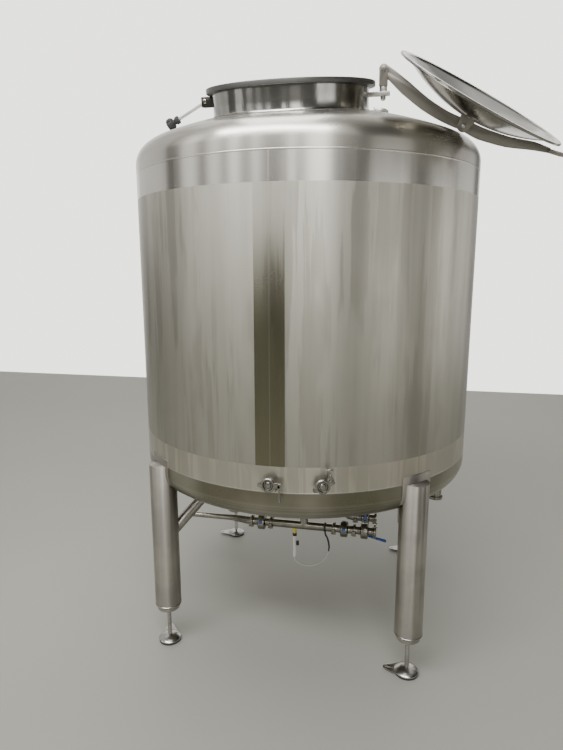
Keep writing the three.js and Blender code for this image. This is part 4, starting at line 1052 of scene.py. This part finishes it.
class TANK_OT_stage(bpy.types.Operator):
    """Add the floor, the soft light and the camera"""

    bl_idname = "tank.stage"
    bl_label = "Stage"

    def execute(self, context):
        scene = context.scene
        self.add_floor(scene)
        self.add_room(scene)
        for lamp in LAMPS:
            self.add_lamp(scene, *lamp)
        self.add_camera(scene)
        return {"FINISHED"}

    def add_floor(self, scene):
        colour = scene.tank_stage.floor
        bm = bmesh.new()
        bmesh.ops.create_grid(bm, x_segments=1, y_segments=1, size=FLOOR_SIZE)
        bmesh.ops.translate(bm, vec=(0, FLOOR_BACK - FLOOR_SIZE, -FLOOR_DROP), verts=bm.verts)
        floor = mesh_object("floor", bm)
        material, tree, shader = blank_material("floor_paint")
        patches = grain_masks(tree, object_vector(tree), patch_scale=0.5)["Patches"]
        shade = mix_colour(tree, times(tree, patches, 0.3), colour, darker(colour, 0.85))
        tree.links.new(shade, shader.inputs["Base Color"])
        shader.inputs["Roughness"].default_value = 0.55
        floor.data.materials.append(material)

    def add_room(self, scene):
        """Panels of light for the steel to reflect, and a plain wall where the camera sees past it"""
        settings = scene.tank_stage
        world = bpy.data.worlds.new("soft_room")
        scene.world = world
        world.use_nodes = True
        tree = world.node_tree
        back = tree.nodes["Background"]
        place = add_node(tree, "ShaderNodeTexCoord")
        x, y, z = split_axes(tree, place.outputs["Generated"])
        around = math_node(tree, "ARCTAN2", y, x)
        height = math_node(tree, "ARCSINE", z)
        light = settings.gap
        for direction, width, low, high, brightness in PANELS:
            across = band_mask(tree, around, radians(direction - width / 2), radians(direction + width / 2),
                               PANEL_SIDE_SOFTNESS)
            upward = band_mask(tree, height, radians(low), radians(high), PANEL_END_SOFTNESS)
            panel = times(tree, across, upward)
            light = math_node(tree, "MULTIPLY_ADD", panel, brightness, light)
        seen = add_node(tree, "ShaderNodeLightPath").outputs["Is Camera Ray"]
        plain = times(tree, math_node(tree, "SUBTRACT", settings.wall, light), seen)
        tree.links.new(math_node(tree, "ADD", plain, light), back.inputs["Strength"])
        back.inputs["Color"].default_value = (*settings.light, 1.0)

    def add_lamp(self, scene, name, place, target, width, height, power):
        data = bpy.data.lights.new(name, "AREA")
        data.shape = "RECTANGLE"
        data.size = width
        data.size_y = height
        data.energy = power
        lamp = bpy.data.objects.new(name, data)
        scene.collection.objects.link(lamp)
        lamp.location = place
        lamp.rotation_euler = (Vector(target) - Vector(place)).to_track_quat("-Z", "Y").to_euler()

    def add_camera(self, scene):
        level = cos(CAMERA_PITCH)
        forward = Vector((sin(CAMERA_YAW) * level, cos(CAMERA_YAW) * level, sin(CAMERA_PITCH)))
        right = Vector((cos(CAMERA_YAW), -sin(CAMERA_YAW), 0.0))
        right = Matrix.Rotation(CAMERA_ROLL, 3, forward) @ right
        up = right.cross(forward)
        data = bpy.data.cameras.new("camera")
        data.lens = scene.tank_stage.lens
        data.clip_end = 100.0
        camera = bpy.data.objects.new("camera", data)
        scene.collection.objects.link(camera)
        facing = Matrix((right, up, -forward)).transposed().to_4x4()
        camera.matrix_world = Matrix.Translation(CENTRE + CAMERA_PLACE) @ facing
        scene.camera = camera


class TANK_PT_panel(bpy.types.Panel):
    """Builds the tank's looks, piece by piece"""

    bl_idname = "TANK_PT_panel"
    bl_label = "Upright Tank"
    bl_space_type = "VIEW_3D"
    bl_region_type = "UI"
    bl_category = "Tank"

    def draw(self, context):
        for operator in OPERATORS:
            self.layout.operator(operator.bl_idname)
        for name in SETTINGS:
            box = self.layout.box()
            group = getattr(context.scene, name)
            for key in group.__annotations__:
                box.prop(group, key)


SETTINGS = {
    "tank_vessel": VesselSizes,
    "tank_manway": ManwaySizes,
    "tank_finish": FinishColours,
    "tank_stage": StageSettings,
}

# The camera and the cable come first
OPERATORS = (
    TANK_OT_stage,
    TANK_OT_sensor,
    TANK_OT_shell,
    TANK_OT_heads,
    TANK_OT_manway,
    TANK_OT_lid,
    TANK_OT_manway_gear,
    TANK_OT_stand,
    TANK_OT_connections,
    TANK_OT_pipework,
)


def register():
    for name, group in SETTINGS.items():
        bpy.utils.register_class(group)
        setattr(bpy.types.Scene, name, PointerProperty(type=group))
    for cls in (*OPERATORS, TANK_PT_panel):
        bpy.utils.register_class(cls)


def unregister():
    for cls in (TANK_PT_panel, *reversed(OPERATORS)):
        bpy.utils.unregister_class(cls)
    for name, group in reversed(SETTINGS.items()):
        delattr(bpy.types.Scene, name)
        bpy.utils.unregister_class(group)


def main():
    register()
    for operator in OPERATORS:
        group, name = operator.bl_idname.split(".")
        getattr(getattr(bpy.ops, group), name)()


if __name__ == "__main__":
    main()
